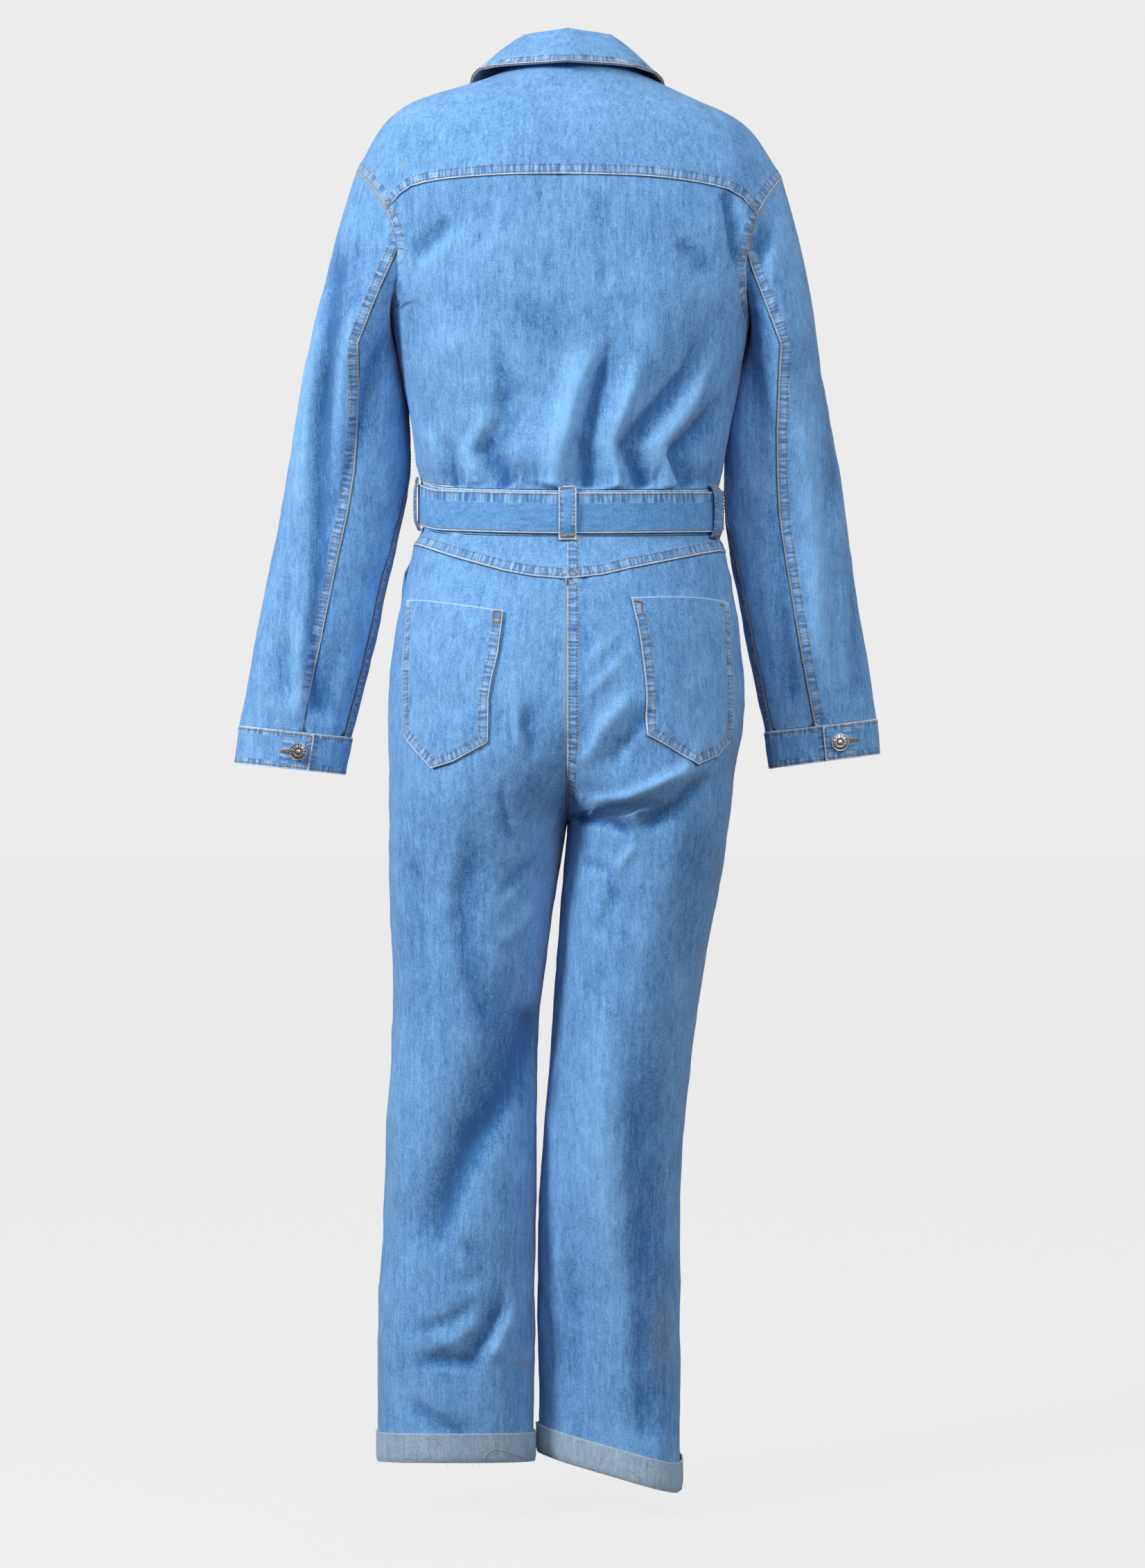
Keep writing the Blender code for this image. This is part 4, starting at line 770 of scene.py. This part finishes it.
SLEEVE_TUBES = {
    "left": ([(-0.72, -0.288, 0.034), (-0.66, -0.283, 0.034), (-0.60, -0.267, 0.035), (-0.50, -0.247, 0.037),
              (-0.40, -0.2265, 0.036), (-0.33, -0.2215, 0.028), (-0.285, -0.220, 0.0135),
              (-0.22, -0.212, 0.0)], -0.22),
    "right": ([(-0.72, 0.257, 0.034), (-0.66, 0.2535, 0.034), (-0.60, 0.242, 0.035), (-0.50, 0.2245, 0.037),
               (-0.40, 0.2135, 0.036), (-0.33, 0.2125, 0.028), (-0.285, 0.212, 0.0135), (-0.22, 0.206, 0.0)],
              -0.22),
}
SLEEVE_CREASES = {
    "left": [
        ([(492, 330), (478, 430), (462, 600), (461, 740), (456, 900), (456, 1045)], 12, 20, -4.2, 0.1, 0.05),
        ([(470, 340), (452, 480), (440, 640), (432, 800)], 18, 12, 2.6, 0.2, 0.3),
        ([(566, 455), (528, 555), (502, 690), (474, 765)], 10, 16, -3.2, 0.2, 0.3),
        ([(512, 420), (492, 560), (480, 690)], 14, 10, 2.2, 0.3, 0.3),
        ([(518, 330), (512, 400), (520, 460)], 8, 10, -1.8, 0.3, 0.4),
        ([(412, 900), (404, 960), (410, 1020)], 14, 16, -2.4, 0.4, 0.2),
        ([(488, 900), (484, 960), (470, 1040)], 12, 12, -2.0, 0.4, 0.1),
        ([(436, 860), (432, 940), (430, 1040)], 12, 9, 2.2, 0.4, 0.1),
        ([(478, 500), (468, 560), (470, 640)], 9, 10, -1.2, 0.4, 0.4),
    ],
    "right": [
        ([(1100, 310), (1084, 400), (1086, 520), (1100, 640)], 12, 22, -3.4, 0.1, 0.3),
        ([(1128, 300), (1120, 360), (1108, 420)], 12, 10, 1.8, 0.2, 0.4),
        ([(1188, 500), (1204, 620), (1206, 700), (1192, 770)], 12, 18, -2.8, 0.3, 0.3),
        ([(1150, 500), (1168, 680), (1180, 860), (1190, 1020)], 18, 14, 2.4, 0.3, 0.2),
        ([(1112, 700), (1128, 850), (1140, 1030)], 14, 14, -2.2, 0.3, 0.1),
        ([(1228, 760), (1238, 880), (1240, 1020)], 12, 16, -2.2, 0.3, 0.1),
        ([(1160, 730), (1120, 744), (1090, 740)], 12, 14, -1.2, 0.4, 0.3),
    ],
}

CUFF_CREASES = {
    "left": [([(340, 1064), (370, 1066), (408, 1072)], 4, 5, -0.5, 0.2, 0.4),
             ([(438, 1076), (446, 1080), (452, 1078)], 3, 4, -0.4, 0.3, 0.3)],
    "right": [([(1200, 1060), (1210, 1058), (1262, 1062)], 4, 5, -0.5, 0.2, 0.4)],
}
BUTTONHOLES = {"left": [(417, 1083, 0.6)], "right": [(1228, 1067, -0.6)]}

# Where the sleeve lies pressed against the body below the armhole, moved across by millimetres
PRESSED = {
    "left": ([(570, 320), (577, 400), (585, 480), (592, 570), (594, 610)], 26, 26, 3.4, 0.12, 0.2),
    "right": ([(1082, 350), (1076, 420), (1072, 500), (1062, 580), (1052, 640), (1046, 690)],
              26, 26, -4.2, 0.12, 0.2),
}

for side in SIDES:
    tube = SLEEVE_TUBES[side]
    upper_name = "sleeve_upper_" + side
    under_name = "sleeve_under_" + side
    upper = cut_piece(upper_name, 3)
    under = cut_piece(under_name, 3)
    for piece in (upper, under):
        fold(piece, tube, SLEEVE_CREASES[side])
        points = points_of(piece)
        points[:, 0] += crease(in_picture(points), [PRESSED[side]]) * 0.001
        put_points(piece, points)
    armhole = [line for name in ("back_panel", "yoke_back", "front_" + side)
               for line in edge_lines(upper, tube, solids[name])]
    # Each sleeve piece gets a painted shadow beside the edges lying over it
    shadow_edges = {upper: armhole, under: edge_lines(under, tube, upper)}
    seam = [line for line in edge_lines(upper, tube, under) if len(line) > 12]
    drawn_to(under, upper)
    felled(upper, tube, seam)
    for node, piece, flat, area in ((upper_name, upper, (0.31, 0.60), 0.144),
                                    (under_name, under, (0.09, 0.50), 0.028)):
        sewn_edges = seam if piece == upper else []
        mark(piece, tube, sewn_edges, sewn_edges, under=shadow_edges[piece])
        sewn(piece, node, MID_BLUE)
    stitched("sleeve_stitching_" + side, rows_beside(upper, tube, seam), TAN_THREAD, upper)
    cuff = cut_piece("cuff_" + side, 3)
    fold(cuff, tube, CUFF_CREASES[side])
    lines = edge_lines(cuff, tube)
    mark(cuff, tube, lines, lines[:1], wide=0.0065)
    sewn(cuff, "cuff_" + side, MID_BLUE)
    rows = rows_beside(cuff, tube, lines[:1], [0.0028])
    stitched("cuff_stitching_" + side, rows, TAN_THREAD, cuff, thick=0.00065)
    turn = np.linspace(0, 2 * math.pi, 49)
    slot = [(middle + 12 * math.cos(a), down + 1.5 * math.sin(a) + slope * math.cos(a))
            for middle, down, slope in BUTTONHOLES[side] for a in turn]
    stitched("buttonhole_" + side, [seen_on(cuff, slot)], TAN_THREAD, cuff, length=0.0018, pitch=0.0006,
             thick=0.00045, across=True)

# ---------------------------------------------------------------- collar
# A stand and a fall of doubled denim. The fall rolls over the stand, and its edge is stitched twice.

for node, flat in (("collar_stand", (0.40, 0.03)), ("collar_leaf", (0.47, 0.085))):
    piece = cut_piece(node, 3 if node == "collar_leaf" else 2)
    tube = ([(-0.2, -0.005, 0.0), (0.1, -0.005, 0.0)], 1.0)
    lines = edge_lines(piece, tube)
    if node == "collar_leaf":
        stand = surface_of(solids["collar_stand"])
        free = run_of(lines[0], np.array([stand.find_nearest(Vector(p))[3] > 0.012 for p in lines[0]]))
        mark(piece, tube, [free], [free])
    else:
        mark(piece, tube, lines)
    sewn(piece, node, MID_BLUE)
    if node == "collar_leaf":
        stitched("collar_stitching", rows_beside(piece, tube, [free], (0.002, 0.0085)), TAN_THREAD, piece)

# ---------------------------------------------------------------- waistband, risers, legs and pockets
# The seat rises in a shallow V of two pieces to the waistband. Each leg is a back and a front,
# and the back pockets are single patches with a hemmed top.

band = cut_piece("waistband", 2)
band_top = edge_lines(band, BODY_TUBE, solids["back_panel"])[:1]
mark(band, BODY_TUBE, band_top, band_top, wide=0.008)
sewn(band, "waistband", MID_BLUE)
stitched("waistband_stitching", [row_beside(band, BODY_TUBE, band_top[0], 0.0030)], TAN_THREAD, band)

LEG_TUBES = {
    "left": ([(-1.45, -0.117, -0.004), (-1.17, -0.114, 0.0), (-0.96, -0.107, 0.0), (-0.81, -0.10, 0.0),
              (-0.72, -0.06, 0.0), (-0.60, -0.005, 0.0), (-0.48, -0.005, 0.0)], 1.0),
    "right": ([(-1.45, 0.040, 0.0), (-1.17, 0.0385, 0.0), (-0.96, 0.0525, 0.0), (-0.81, 0.0715, 0.0),
               (-0.72, 0.05, 0.0), (-0.60, -0.005, 0.0), (-0.48, -0.005, 0.0)], 1.0),
}
LEG_CREASES = {
    "left": [
        ([(786, 1440), (734, 1575), (682, 1655), (612, 1825)], 34, 20, -5.0, 0.1, 0.25),
        ([(688, 1150), (666, 1330), (682, 1410), (720, 1520)], 14, 26, -3.0, 0.3, 0.2),
        ([(722, 1120), (730, 1200), (745, 1240)], 6, 9, -1.8, 0.3, 0.4),
        ([(716, 1300), (742, 1270), (770, 1240)], 7, 9, -1.6, 0.4, 0.2),
        ([(704, 1360), (740, 1350), (775, 1300)], 8, 10, 1.4, 0.4, 0.2),
        ([(588, 1972), (630, 1964), (682, 1970), (716, 1908), (752, 1846)], 8, 14, -3.6, 0.2, 0.25),
        ([(700, 1968), (728, 1908), (745, 1840)], 14, 10, 3.0, 0.2, 0.3),
        ([(586, 1922), (650, 1906), (698, 1878)], 5, 8, -2.4, 0.3, 0.3),
        ([(612, 1946), (660, 1928), (700, 1900)], 8, 7, 1.6, 0.3, 0.3),
        ([(572, 2012), (640, 2056), (690, 2070)], 12, 10, -2.2, 0.3, 0.3),
        ([(650, 1790), (690, 1810), (710, 1850)], 8, 10, -1.6, 0.4, 0.4),
        ([(640, 1840), (672, 1850), (704, 1830)], 7, 8, -1.4, 0.4, 0.4),
        ([(770, 1000), (758, 1050), (772, 1100)], 9, 14, -2.4, 0.4, 0.3),
        ([(738, 940), (742, 1020), (752, 1110)], 8, 10, 1.8, 0.4, 0.3),
        ([(590, 1130), (600, 1300), (596, 1500)], 16, 22, -1.4, 0.4, 0.4),
        ([(752, 776), (764, 800), (758, 826)], 6, 8, -2.0, 0.1, 0.4),
        ([(690, 772), (676, 792), (664, 806)], 7, 9, -1.6, 0.1, 0.4),
    ],
    "right": [
        ([(826, 1180), (880, 1186), (916, 1206)], 6, 10, -4.2, 0.1, 0.25),
        ([(920, 1200), (980, 1160), (1032, 1108)], 12, 10, -3.6, 0.2, 0.3),
        ([(832, 1160), (905, 1150), (985, 1112), (1020, 1080)], 12, 10, 3.2, 0.15, 0.3),
        ([(896, 1268), (876, 1310), (858, 1352)], 8, 12, -2.2, 0.3, 0.4),
        ([(920, 1215), (900, 1240), (884, 1262)], 10, 8, 2.0, 0.3, 0.3),
        ([(836, 1238), (863, 1252), (883, 1252)], 5, 7, -1.6, 0.3, 0.3),
        ([(835, 1112), (868, 1050), (920, 985)], 14, 10, 3.0, 0.2, 0.3),
        ([(866, 1116), (915, 1060), (945, 1010)], 10, 14, -2.6, 0.3, 0.3),
        ([(838, 1012), (880, 965), (905, 935)], 9, 7, 1.8, 0.3, 0.4),
        ([(836, 968), (868, 935), (900, 905)], 8, 7, 1.4, 0.3, 0.4),
        ([(910, 1420), (920, 1600), (930, 1850), (934, 2090)], 20, 34, -3.2, 0.3, 0.05),
        ([(870, 1400), (868, 1600), (876, 1900)], 30, 20, 1.8, 0.3, 0.3),
        ([(818, 1780), (826, 1900), (822, 2030)], 10, 16, -2.0, 0.4, 0.2),
        ([(800, 1800), (806, 1810), (816, 1800)], 8, 8, 1.2, 0.4, 0.4),
        ([(925, 768), (922, 782), (930, 800)], 5, 7, -2.0, 0.1, 0.4),
        ([(845, 796), (838, 820), (842, 850)], 8, 9, -1.8, 0.2, 0.4),
        ([(1010, 1130), (1006, 1250), (990, 1450)], 20, 22, -1.8, 0.3, 0.4),
    ],
}
HIDDEN_LEG_CREASES = {
    "left": [([(-20, -700), (-70, -722), (-120, -745)], 8, 12, -2.0, 0.3, 0.4),
             ([(-22, -735), (-75, -765), (-130, -820)], 9, 13, -2.0, 0.2, 0.5),
             ([(-60, -900), (-110, -985), (-150, -1080)], 16, 12, -2.2, 0.4, 0.4),
             ([(-60, -1130), (-130, -1150)], 9, 12, -1.6, 0.4, 0.4),
             ([(-160, -1200), (-90, -1225)], 8, 12, -1.6, 0.4, 0.4),
             ([(-165, -1290), (-70, -1310)], 7, 10, -2.0, 0.4, 0.4),
             ([(-80, -1335), (-150, -1352)], 7, 9, -1.6, 0.4, 0.4)],
    "right": [([(12, -700), (62, -722), (110, -745)], 8, 12, -2.0, 0.3, 0.4),
              ([(14, -735), (66, -765), (120, -815)], 9, 13, -2.0, 0.2, 0.5),
              ([(30, -900), (80, -990), (100, -1090)], 16, 12, -2.0, 0.4, 0.4),
              ([(10, -1140), (75, -1160)], 9, 12, -1.6, 0.4, 0.4),
              ([(85, -1215), (20, -1235)], 8, 12, -1.6, 0.4, 0.4),
              ([(20, -1290), (90, -1310)], 7, 10, -2.0, 0.4, 0.4)],
}

# Each back pocket's top edge, its hem stitching and the bar tacks at its corners, in pixels
POCKET_TOPS = {
    "left": (((578, 863), (727, 879)), [(579, 880), (650, 890), (724, 899)],
             [[(584, 867), (592, 868)], [(584, 880), (592, 881)], [(713, 880), (722, 881)],
              [(712, 896), (722, 897)], [(712, 881), (712, 896)], [(723, 881), (721, 896)]]),
    "right": (((909, 861), (1048, 868)), [(914, 883), (980, 885), (1047, 887)],
              [[(914, 866), (925, 867)], [(915, 881), (926, 882)], [(913, 867), (914, 880)],
               [(926, 868), (926, 881)], [(1038, 871), (1045, 872)]]),
}
LEG_STAINS = {
    "left": [(756, 1969, 7, 9, 0.8), (748, 1958, 5, 6, 0.6)],
    "right": [(954, 1925, 20, 56, 0.5), (968, 1890, 8, 26, 0.5), (946, 1962, 10, 20, 0.4)],
}

for side in SIDES:
    tube = LEG_TUBES[side]
    seat_name = "leg_back_" + side
    front_name = "leg_front_" + side
    seat = cut_piece(seat_name, 3)
    front = cut_piece(front_name, 2)
    riser = cut_piece("riser_" + side, 3)
    pocket = cut_piece("pocket_back_" + side, 3)
    for piece in (seat, front, pocket):
        fold(piece, tube, LEG_CREASES[side], HIDDEN_LEG_CREASES[side])
    drawn_to(front, seat)
    centre = edge_lines(seat, tube, solids["leg_back_" + SIDES[side == "left"]])
    v_seam = edge_lines(riser, tube, solids[seat_name])
    riser_seams = v_seam[:1]
    if side == "right":
        riser_seams = v_seam[:1] + edge_lines(riser, tube, solids["riser_left"])[:1]
        felled(seat, tube, centre[:1])
        stitched("seat_stitching", rows_beside(seat, tube, centre[:1]), TAN_THREAD, seat)
    felled(riser, tube, riser_seams)
    rows = rows_beside(riser, tube, riser_seams, (0.0018, 0.0093))
    stitched("riser_stitching_" + side, rows, TAN_THREAD, riser)
    around = edge_lines(pocket, tube)[0]
    top, hem, tacks = POCKET_TOPS[side]
    seen = in_picture(around)
    along = np.subtract(top[1], top[0]) / np.linalg.norm(np.subtract(top[1], top[0]))
    below = np.abs(along[0] * (seen - top[0])[:, 1] - along[1] * (seen - top[0])[:, 0]) > 7
    sewn_edge = run_of(around, below)
    seat_top = edge_lines(seat, tube, solids["riser_" + side])
    seams = {seat: centre[:1] if side == "right" else [], riser: riser_seams, pocket: [sewn_edge]}
    # The seat gets a painted shadow beside the riser, the pocket and, on the left, the centre seam
    shadow_edges = {seat: seat_top + (centre[:1] if side == "left" else []) + [around]}
    pale = {seat: centre[:1] if side == "right" else [], riser: riser_seams, pocket: [around]}
    for node, piece, flat, area in ((seat_name, seat, (0.27, 0.94), 0.22),
                                    (front_name, front, (0.27, 0.95), 0.22),
                                    ("riser_" + side, riser, (0.165, 0.055), 0.0061),
                                    ("pocket_back_" + side, pocket, (0.115, 0.17), 0.017)):
        stains = LEG_STAINS[side] if piece == seat else ()
        mark(piece, tube, pale.get(piece, []), seams.get(piece, []), stains=stains,
             under=shadow_edges.get(piece, ()))
        sewn(piece, node, MID_BLUE)
    rows = rows_beside(pocket, tube, [sewn_edge], (0.0016, 0.0084))
    stitched("pocket_stitching_" + side, rows + [seen_on(pocket, hem)], TAN_THREAD, pocket)
    tacked("pocket_tacks_" + side, tacks, pocket)

# ---------------------------------------------------------------- turn-ups
# Each leg ends in a narrow cuff turned up once, so its paler wrong side shows.

WRONG_SIDE_OUT = denim("wrong_side_out", (0.17, 0.275, 0.41), (0.42, 0.55, 0.67),
                       pale=(0.50, 0.58, 0.64), slub=0.8)

LOOSE_THREADS = {
    "left": [[(688, 2111), (697, 2104), (703, 2096), (713, 2091), (724, 2092), (742, 2098), (756, 2103),
              (766, 2110)], [(714, 2092), (713, 2078)], [(616, 2073), (628, 2076), (639, 2085)],
             [(752, 2101), (761, 2106), (765, 2112)]],
    "right": [[(905, 2119), (914, 2124), (921, 2131)]],
}


def strands(name, lines, thick):
    """Loose threads: thin three-sided strands along lines."""
    points = []
    faces = []
    for line in lines:
        line = np.array(line)
        run = np.gradient(line, axis=0)
        start = len(points)
        for point, way in zip(line, run):
            way = Vector(way).normalized()
            side = way.orthogonal().normalized()
            for turn in range(3):
                points.append(Vector(point) + Matrix.Rotation(turn * 2.0944, 3, way) @ side * thick)
        for i in range(len(line) - 1):
            for turn in range(3):
                a, b = start + i * 3 + turn, start + i * 3 + (turn + 1) % 3
                faces.append((a, b, b + 3, a + 3))
    threads(name, points, faces, PALE_THREAD)


for side in SIDES:
    name = "turn_up_" + side
    turned = cut_piece(name, 2)
    lines = edge_lines(turned, LEG_TUBES[side])
    mark(turned, LEG_TUBES[side], lines)
    sewn(turned, name, WRONG_SIDE_OUT)
    rng = np.random.default_rng(len(name))
    frays = []
    for line in lines[:2]:
        for point in even(line, 0.006):
            start = point + rng.normal(0, 0.0008, 3)
            frays.append([start, start + rng.normal(0, 0.0016, 3) + (0, 0, rng.uniform(-0.0010, 0.0014))])
    strands("fray_" + side, frays, 0.00011)
    strands("loose_threads_" + side, [seen_on(turned, line) for line in LOOSE_THREADS[side]], 0.00035)

# ---------------------------------------------------------------- belt and loops
# The belt is a doubled strip of the same denim, less washed, that runs through five loops and a slide.

DARK_BLUE = denim("belt_denim", (0.034, 0.140, 0.36), (0.19, 0.45, 0.83), grain=math.pi / 2)

belt = cut_piece("belt", 3)
lines = edge_lines(belt, BODY_TUBE)
around = lines[0]
apart = np.linalg.norm(around[:, None, :2] - around[None, :, :2], axis=2)
rise = around[:, None, 2] - around[None, :, 2]
across_belt = np.where((apart < 0.012) & (np.abs(rise) > 0.022), rise, 0).sum(axis=1)
belt_top = run_of(around, across_belt > 0)
mark(belt, BODY_TUBE, lines, [belt_top], wide=0.0105)
sewn(belt, "belt", DARK_BLUE)
stitched("belt_stitching", [row_beside(belt, BODY_TUBE, around, 0.0022)], TAN_THREAD, belt)
for place in ("back", "left", "right", "front_left", "front_right"):
    name = "belt_loop_" + place
    loop = cut_piece(name, 2)
    outline = edge_lines(loop, BODY_TUBE)[0]
    mark(loop, BODY_TUBE, [outline] if place == "back" else [], [outline], wide=0.005)
    sewn(loop, name, DARK_BLUE)
    stitched(name + "_stitching", [row_beside(loop, BODY_TUBE, outline, 0.0022)], TAN_THREAD, loop)
    surface = surface_of(loop)
    bars = []
    for height in (outline[:, 2].max() - 0.0028, outline[:, 2].min() + 0.0028):
        level = outline[np.abs(outline[:, 2] - height) < 0.0022]
        first = level[np.argmin(level[:, 0] + level[:, 1] * 0.3)]
        last = level[np.argmax(np.linalg.norm(level - first, axis=1))]
        bar = [lifted(surface, first + (last - first) * share) for share in np.linspace(0.12, 0.88, 9)]
        bars.append(np.array(bar))
    stitched(name + "_tacks", bars, TAN_THREAD, loop, length=0.0024, pitch=0.0008, thick=0.0006, across=True)

# ---------------------------------------------------------------- metal
# Silver shank buttons and the belt's slide are cast metal, worn dull.

METAL, _, _ = plain_material("dull_silver", Metallic=1, Roughness=0.3, Base_Color=(0.72, 0.71, 0.68, 1))
TARNISH, _, _ = plain_material("tarnished_silver", Metallic=1, Roughness=0.45,
                               Base_Color=(0.11, 0.11, 0.12, 1))
solids["belt_slide"].data.materials.clear()
solids["belt_slide"].data.materials.append(METAL)


def shank_button():
    """A button of radius one that faces up z: a rolled rim, a dished face, a ring and a centre boss."""
    bpy.ops.object.select_all(action="DESELECT")
    bpy.ops.mesh.primitive_cylinder_add(vertices=32, radius=1, depth=0.2, location=(0, 0, -0.1))
    one = bpy.context.object
    one.data.transform(one.matrix_world)
    one.matrix_world.identity()
    bpy.ops.object.mode_set(mode="EDIT")
    bpy.ops.mesh.select_mode(type="FACE")
    bpy.ops.mesh.select_all(action="DESELECT")
    bpy.ops.object.mode_set(mode="OBJECT")
    for face in one.data.polygons:
        face.select = face.normal.z > 0.9
    bpy.ops.object.mode_set(mode="EDIT")
    for inset, rise in ((0.10, -0.10), (0.06, 0.05), (0.36, 0.0), (0.06, -0.10), (0.14, 0.12)):
        bpy.ops.mesh.inset(thickness=inset)
        bpy.ops.mesh.extrude_region_move(TRANSFORM_OT_translate={"value": (0, 0, rise)})
    bpy.ops.mesh.select_all(action="SELECT")
    bpy.ops.mesh.normals_make_consistent(inside=False)
    bpy.ops.mesh.select_all(action="DESELECT")
    bpy.ops.mesh.edges_select_sharp(sharpness=math.radians(40))
    bpy.ops.mesh.bevel(offset=0.02, segments=2)
    bpy.ops.object.mode_set(mode="OBJECT")
    one.data.materials.append(METAL)
    one.data.materials.append(TARNISH)
    for face in one.data.polygons:
        far = math.hypot(face.center.x, face.center.y)
        turn = round(math.atan2(face.center.y, face.center.x) / (2 * math.pi) * 32 - 0.5)
        mark_cut = 0.46 < far < 0.84 and turn % 5 in (0, 2)
        groove = face.center.z < -0.06 and face.normal.z > 0.5
        face.material_index = int(mark_cut or groove)
    return one


button = shank_button()
for name, node in solids.items():
    if "button" not in name:
        continue
    points = points_of(node)
    middle = (points.max(axis=0) + points.min(axis=0)) / 2
    tube = SLEEVE_TUBES[name.rsplit("_", 1)[1]] if name.startswith("cuff") else BODY_TUBE
    flat = np.linalg.svd(points - points.mean(axis=0), full_matrices=False)[2][2]
    up = Vector(flat if flat @ ways_out(middle[None], tube)[0] > 0 else -flat)
    heights = points @ np.array(up)
    across = points - np.outer(heights, np.array(up))
    centre = across.mean(axis=0)
    radius = np.linalg.norm(across - centre, axis=1).max()
    top = Vector(centre) + up * heights.max()
    turned = up.to_track_quat("Z", "Y").to_matrix().to_4x4()
    made = button.copy()
    made.data = button.data.copy()
    made.name = name + "_metal"
    bpy.context.collection.objects.link(made)
    made.data.transform(Matrix.Translation(top) @ turned @ Matrix.Diagonal((radius, radius, radius * 0.9, 1)))
    alone(made)
    bpy.ops.object.shade_smooth_by_angle(angle=math.radians(35))
    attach(made, "root")
    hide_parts(name)
bpy.data.objects.remove(button)

# ---------------------------------------------------------------- studio
# A pale floor under soft, even light, and the camera level with the garment's middle behind it.

bpy.ops.object.select_all(action="DESELECT")
bpy.ops.mesh.primitive_circle_add(vertices=64, radius=30, fill_type="NGON", location=(0, 0, -1.46))
floor = bpy.context.object
floor.name = "floor"
floor.data.transform(floor.matrix_world)
floor.matrix_world.identity()


def by_ray(tree, lit, seen, output):
    """Gives the camera one shader and all other rays the other."""
    path = tree.nodes.new("ShaderNodeLightPath")
    either = tree.nodes.new("ShaderNodeMixShader")
    tree.links.new(path.outputs["Is Camera Ray"], either.inputs["Fac"])
    tree.links.new(lit.outputs[0], either.inputs[1])
    tree.links.new(seen.outputs[0], either.inputs[2])
    tree.links.new(either.outputs[0], tree.nodes[output].inputs["Surface"])


FLOOR, tree, shader = plain_material(
    "pale_floor", Base_Color=(0.045, 0.045, 0.045, 1), Roughness=1.0, Specular_IOR_Level=0.0)
glow = tree.nodes.new("ShaderNodeEmission")
glow.inputs["Strength"].default_value = 0.80
both = tree.nodes.new("ShaderNodeAddShader")
tree.links.new(shader.outputs[0], both.inputs[0])
tree.links.new(glow.outputs[0], both.inputs[1])
by_ray(tree, shader, both, "Material Output")
floor.data.materials.append(FLOOR)

world = bpy.data.worlds.new("studio")
bpy.context.scene.world = world
world.use_nodes = True
tree = world.node_tree
seen = tree.nodes["Background"]
seen.inputs["Color"].default_value = (0.838, 0.838, 0.838, 1)
lit = tree.nodes.new("ShaderNodeBackground")
lit.inputs["Color"].default_value = (0.93, 0.96, 1.0, 1)
lit.inputs["Strength"].default_value = 0.55
by_ray(tree, lit, seen, "World Output")
bpy.context.scene.view_settings.view_transform = "Standard"


def soft_light(name, place, target, size, power):
    bpy.ops.object.light_add(type="AREA", location=place)
    light = bpy.context.object
    light.name = name
    light.data.size = size
    light.data.energy = power
    light.rotation_euler = (Vector(target) - Vector(place)).to_track_quat("-Z", "Y").to_euler()


soft_light("key", (-2.5, -1.6, 0.75), (0, 0, -0.65), 0.7, 92)
soft_light("fill", (1.2, -3.4, 0.6), (0, 0, -0.8), 1.6, 19)
soft_light("shoulder", (1.2, -1.9, 0.6), (0.08, 0, -0.35), 0.8, 16)

bpy.ops.object.camera_add(location=EYE, rotation=(math.pi / 2, 0, 0))
camera = bpy.context.object
camera.data.angle = 2 * math.atan(PICTURE_TALL / 2 * PIXEL / -EYE.y)
camera.data.clip_start = 0.05
bpy.context.scene.camera = camera
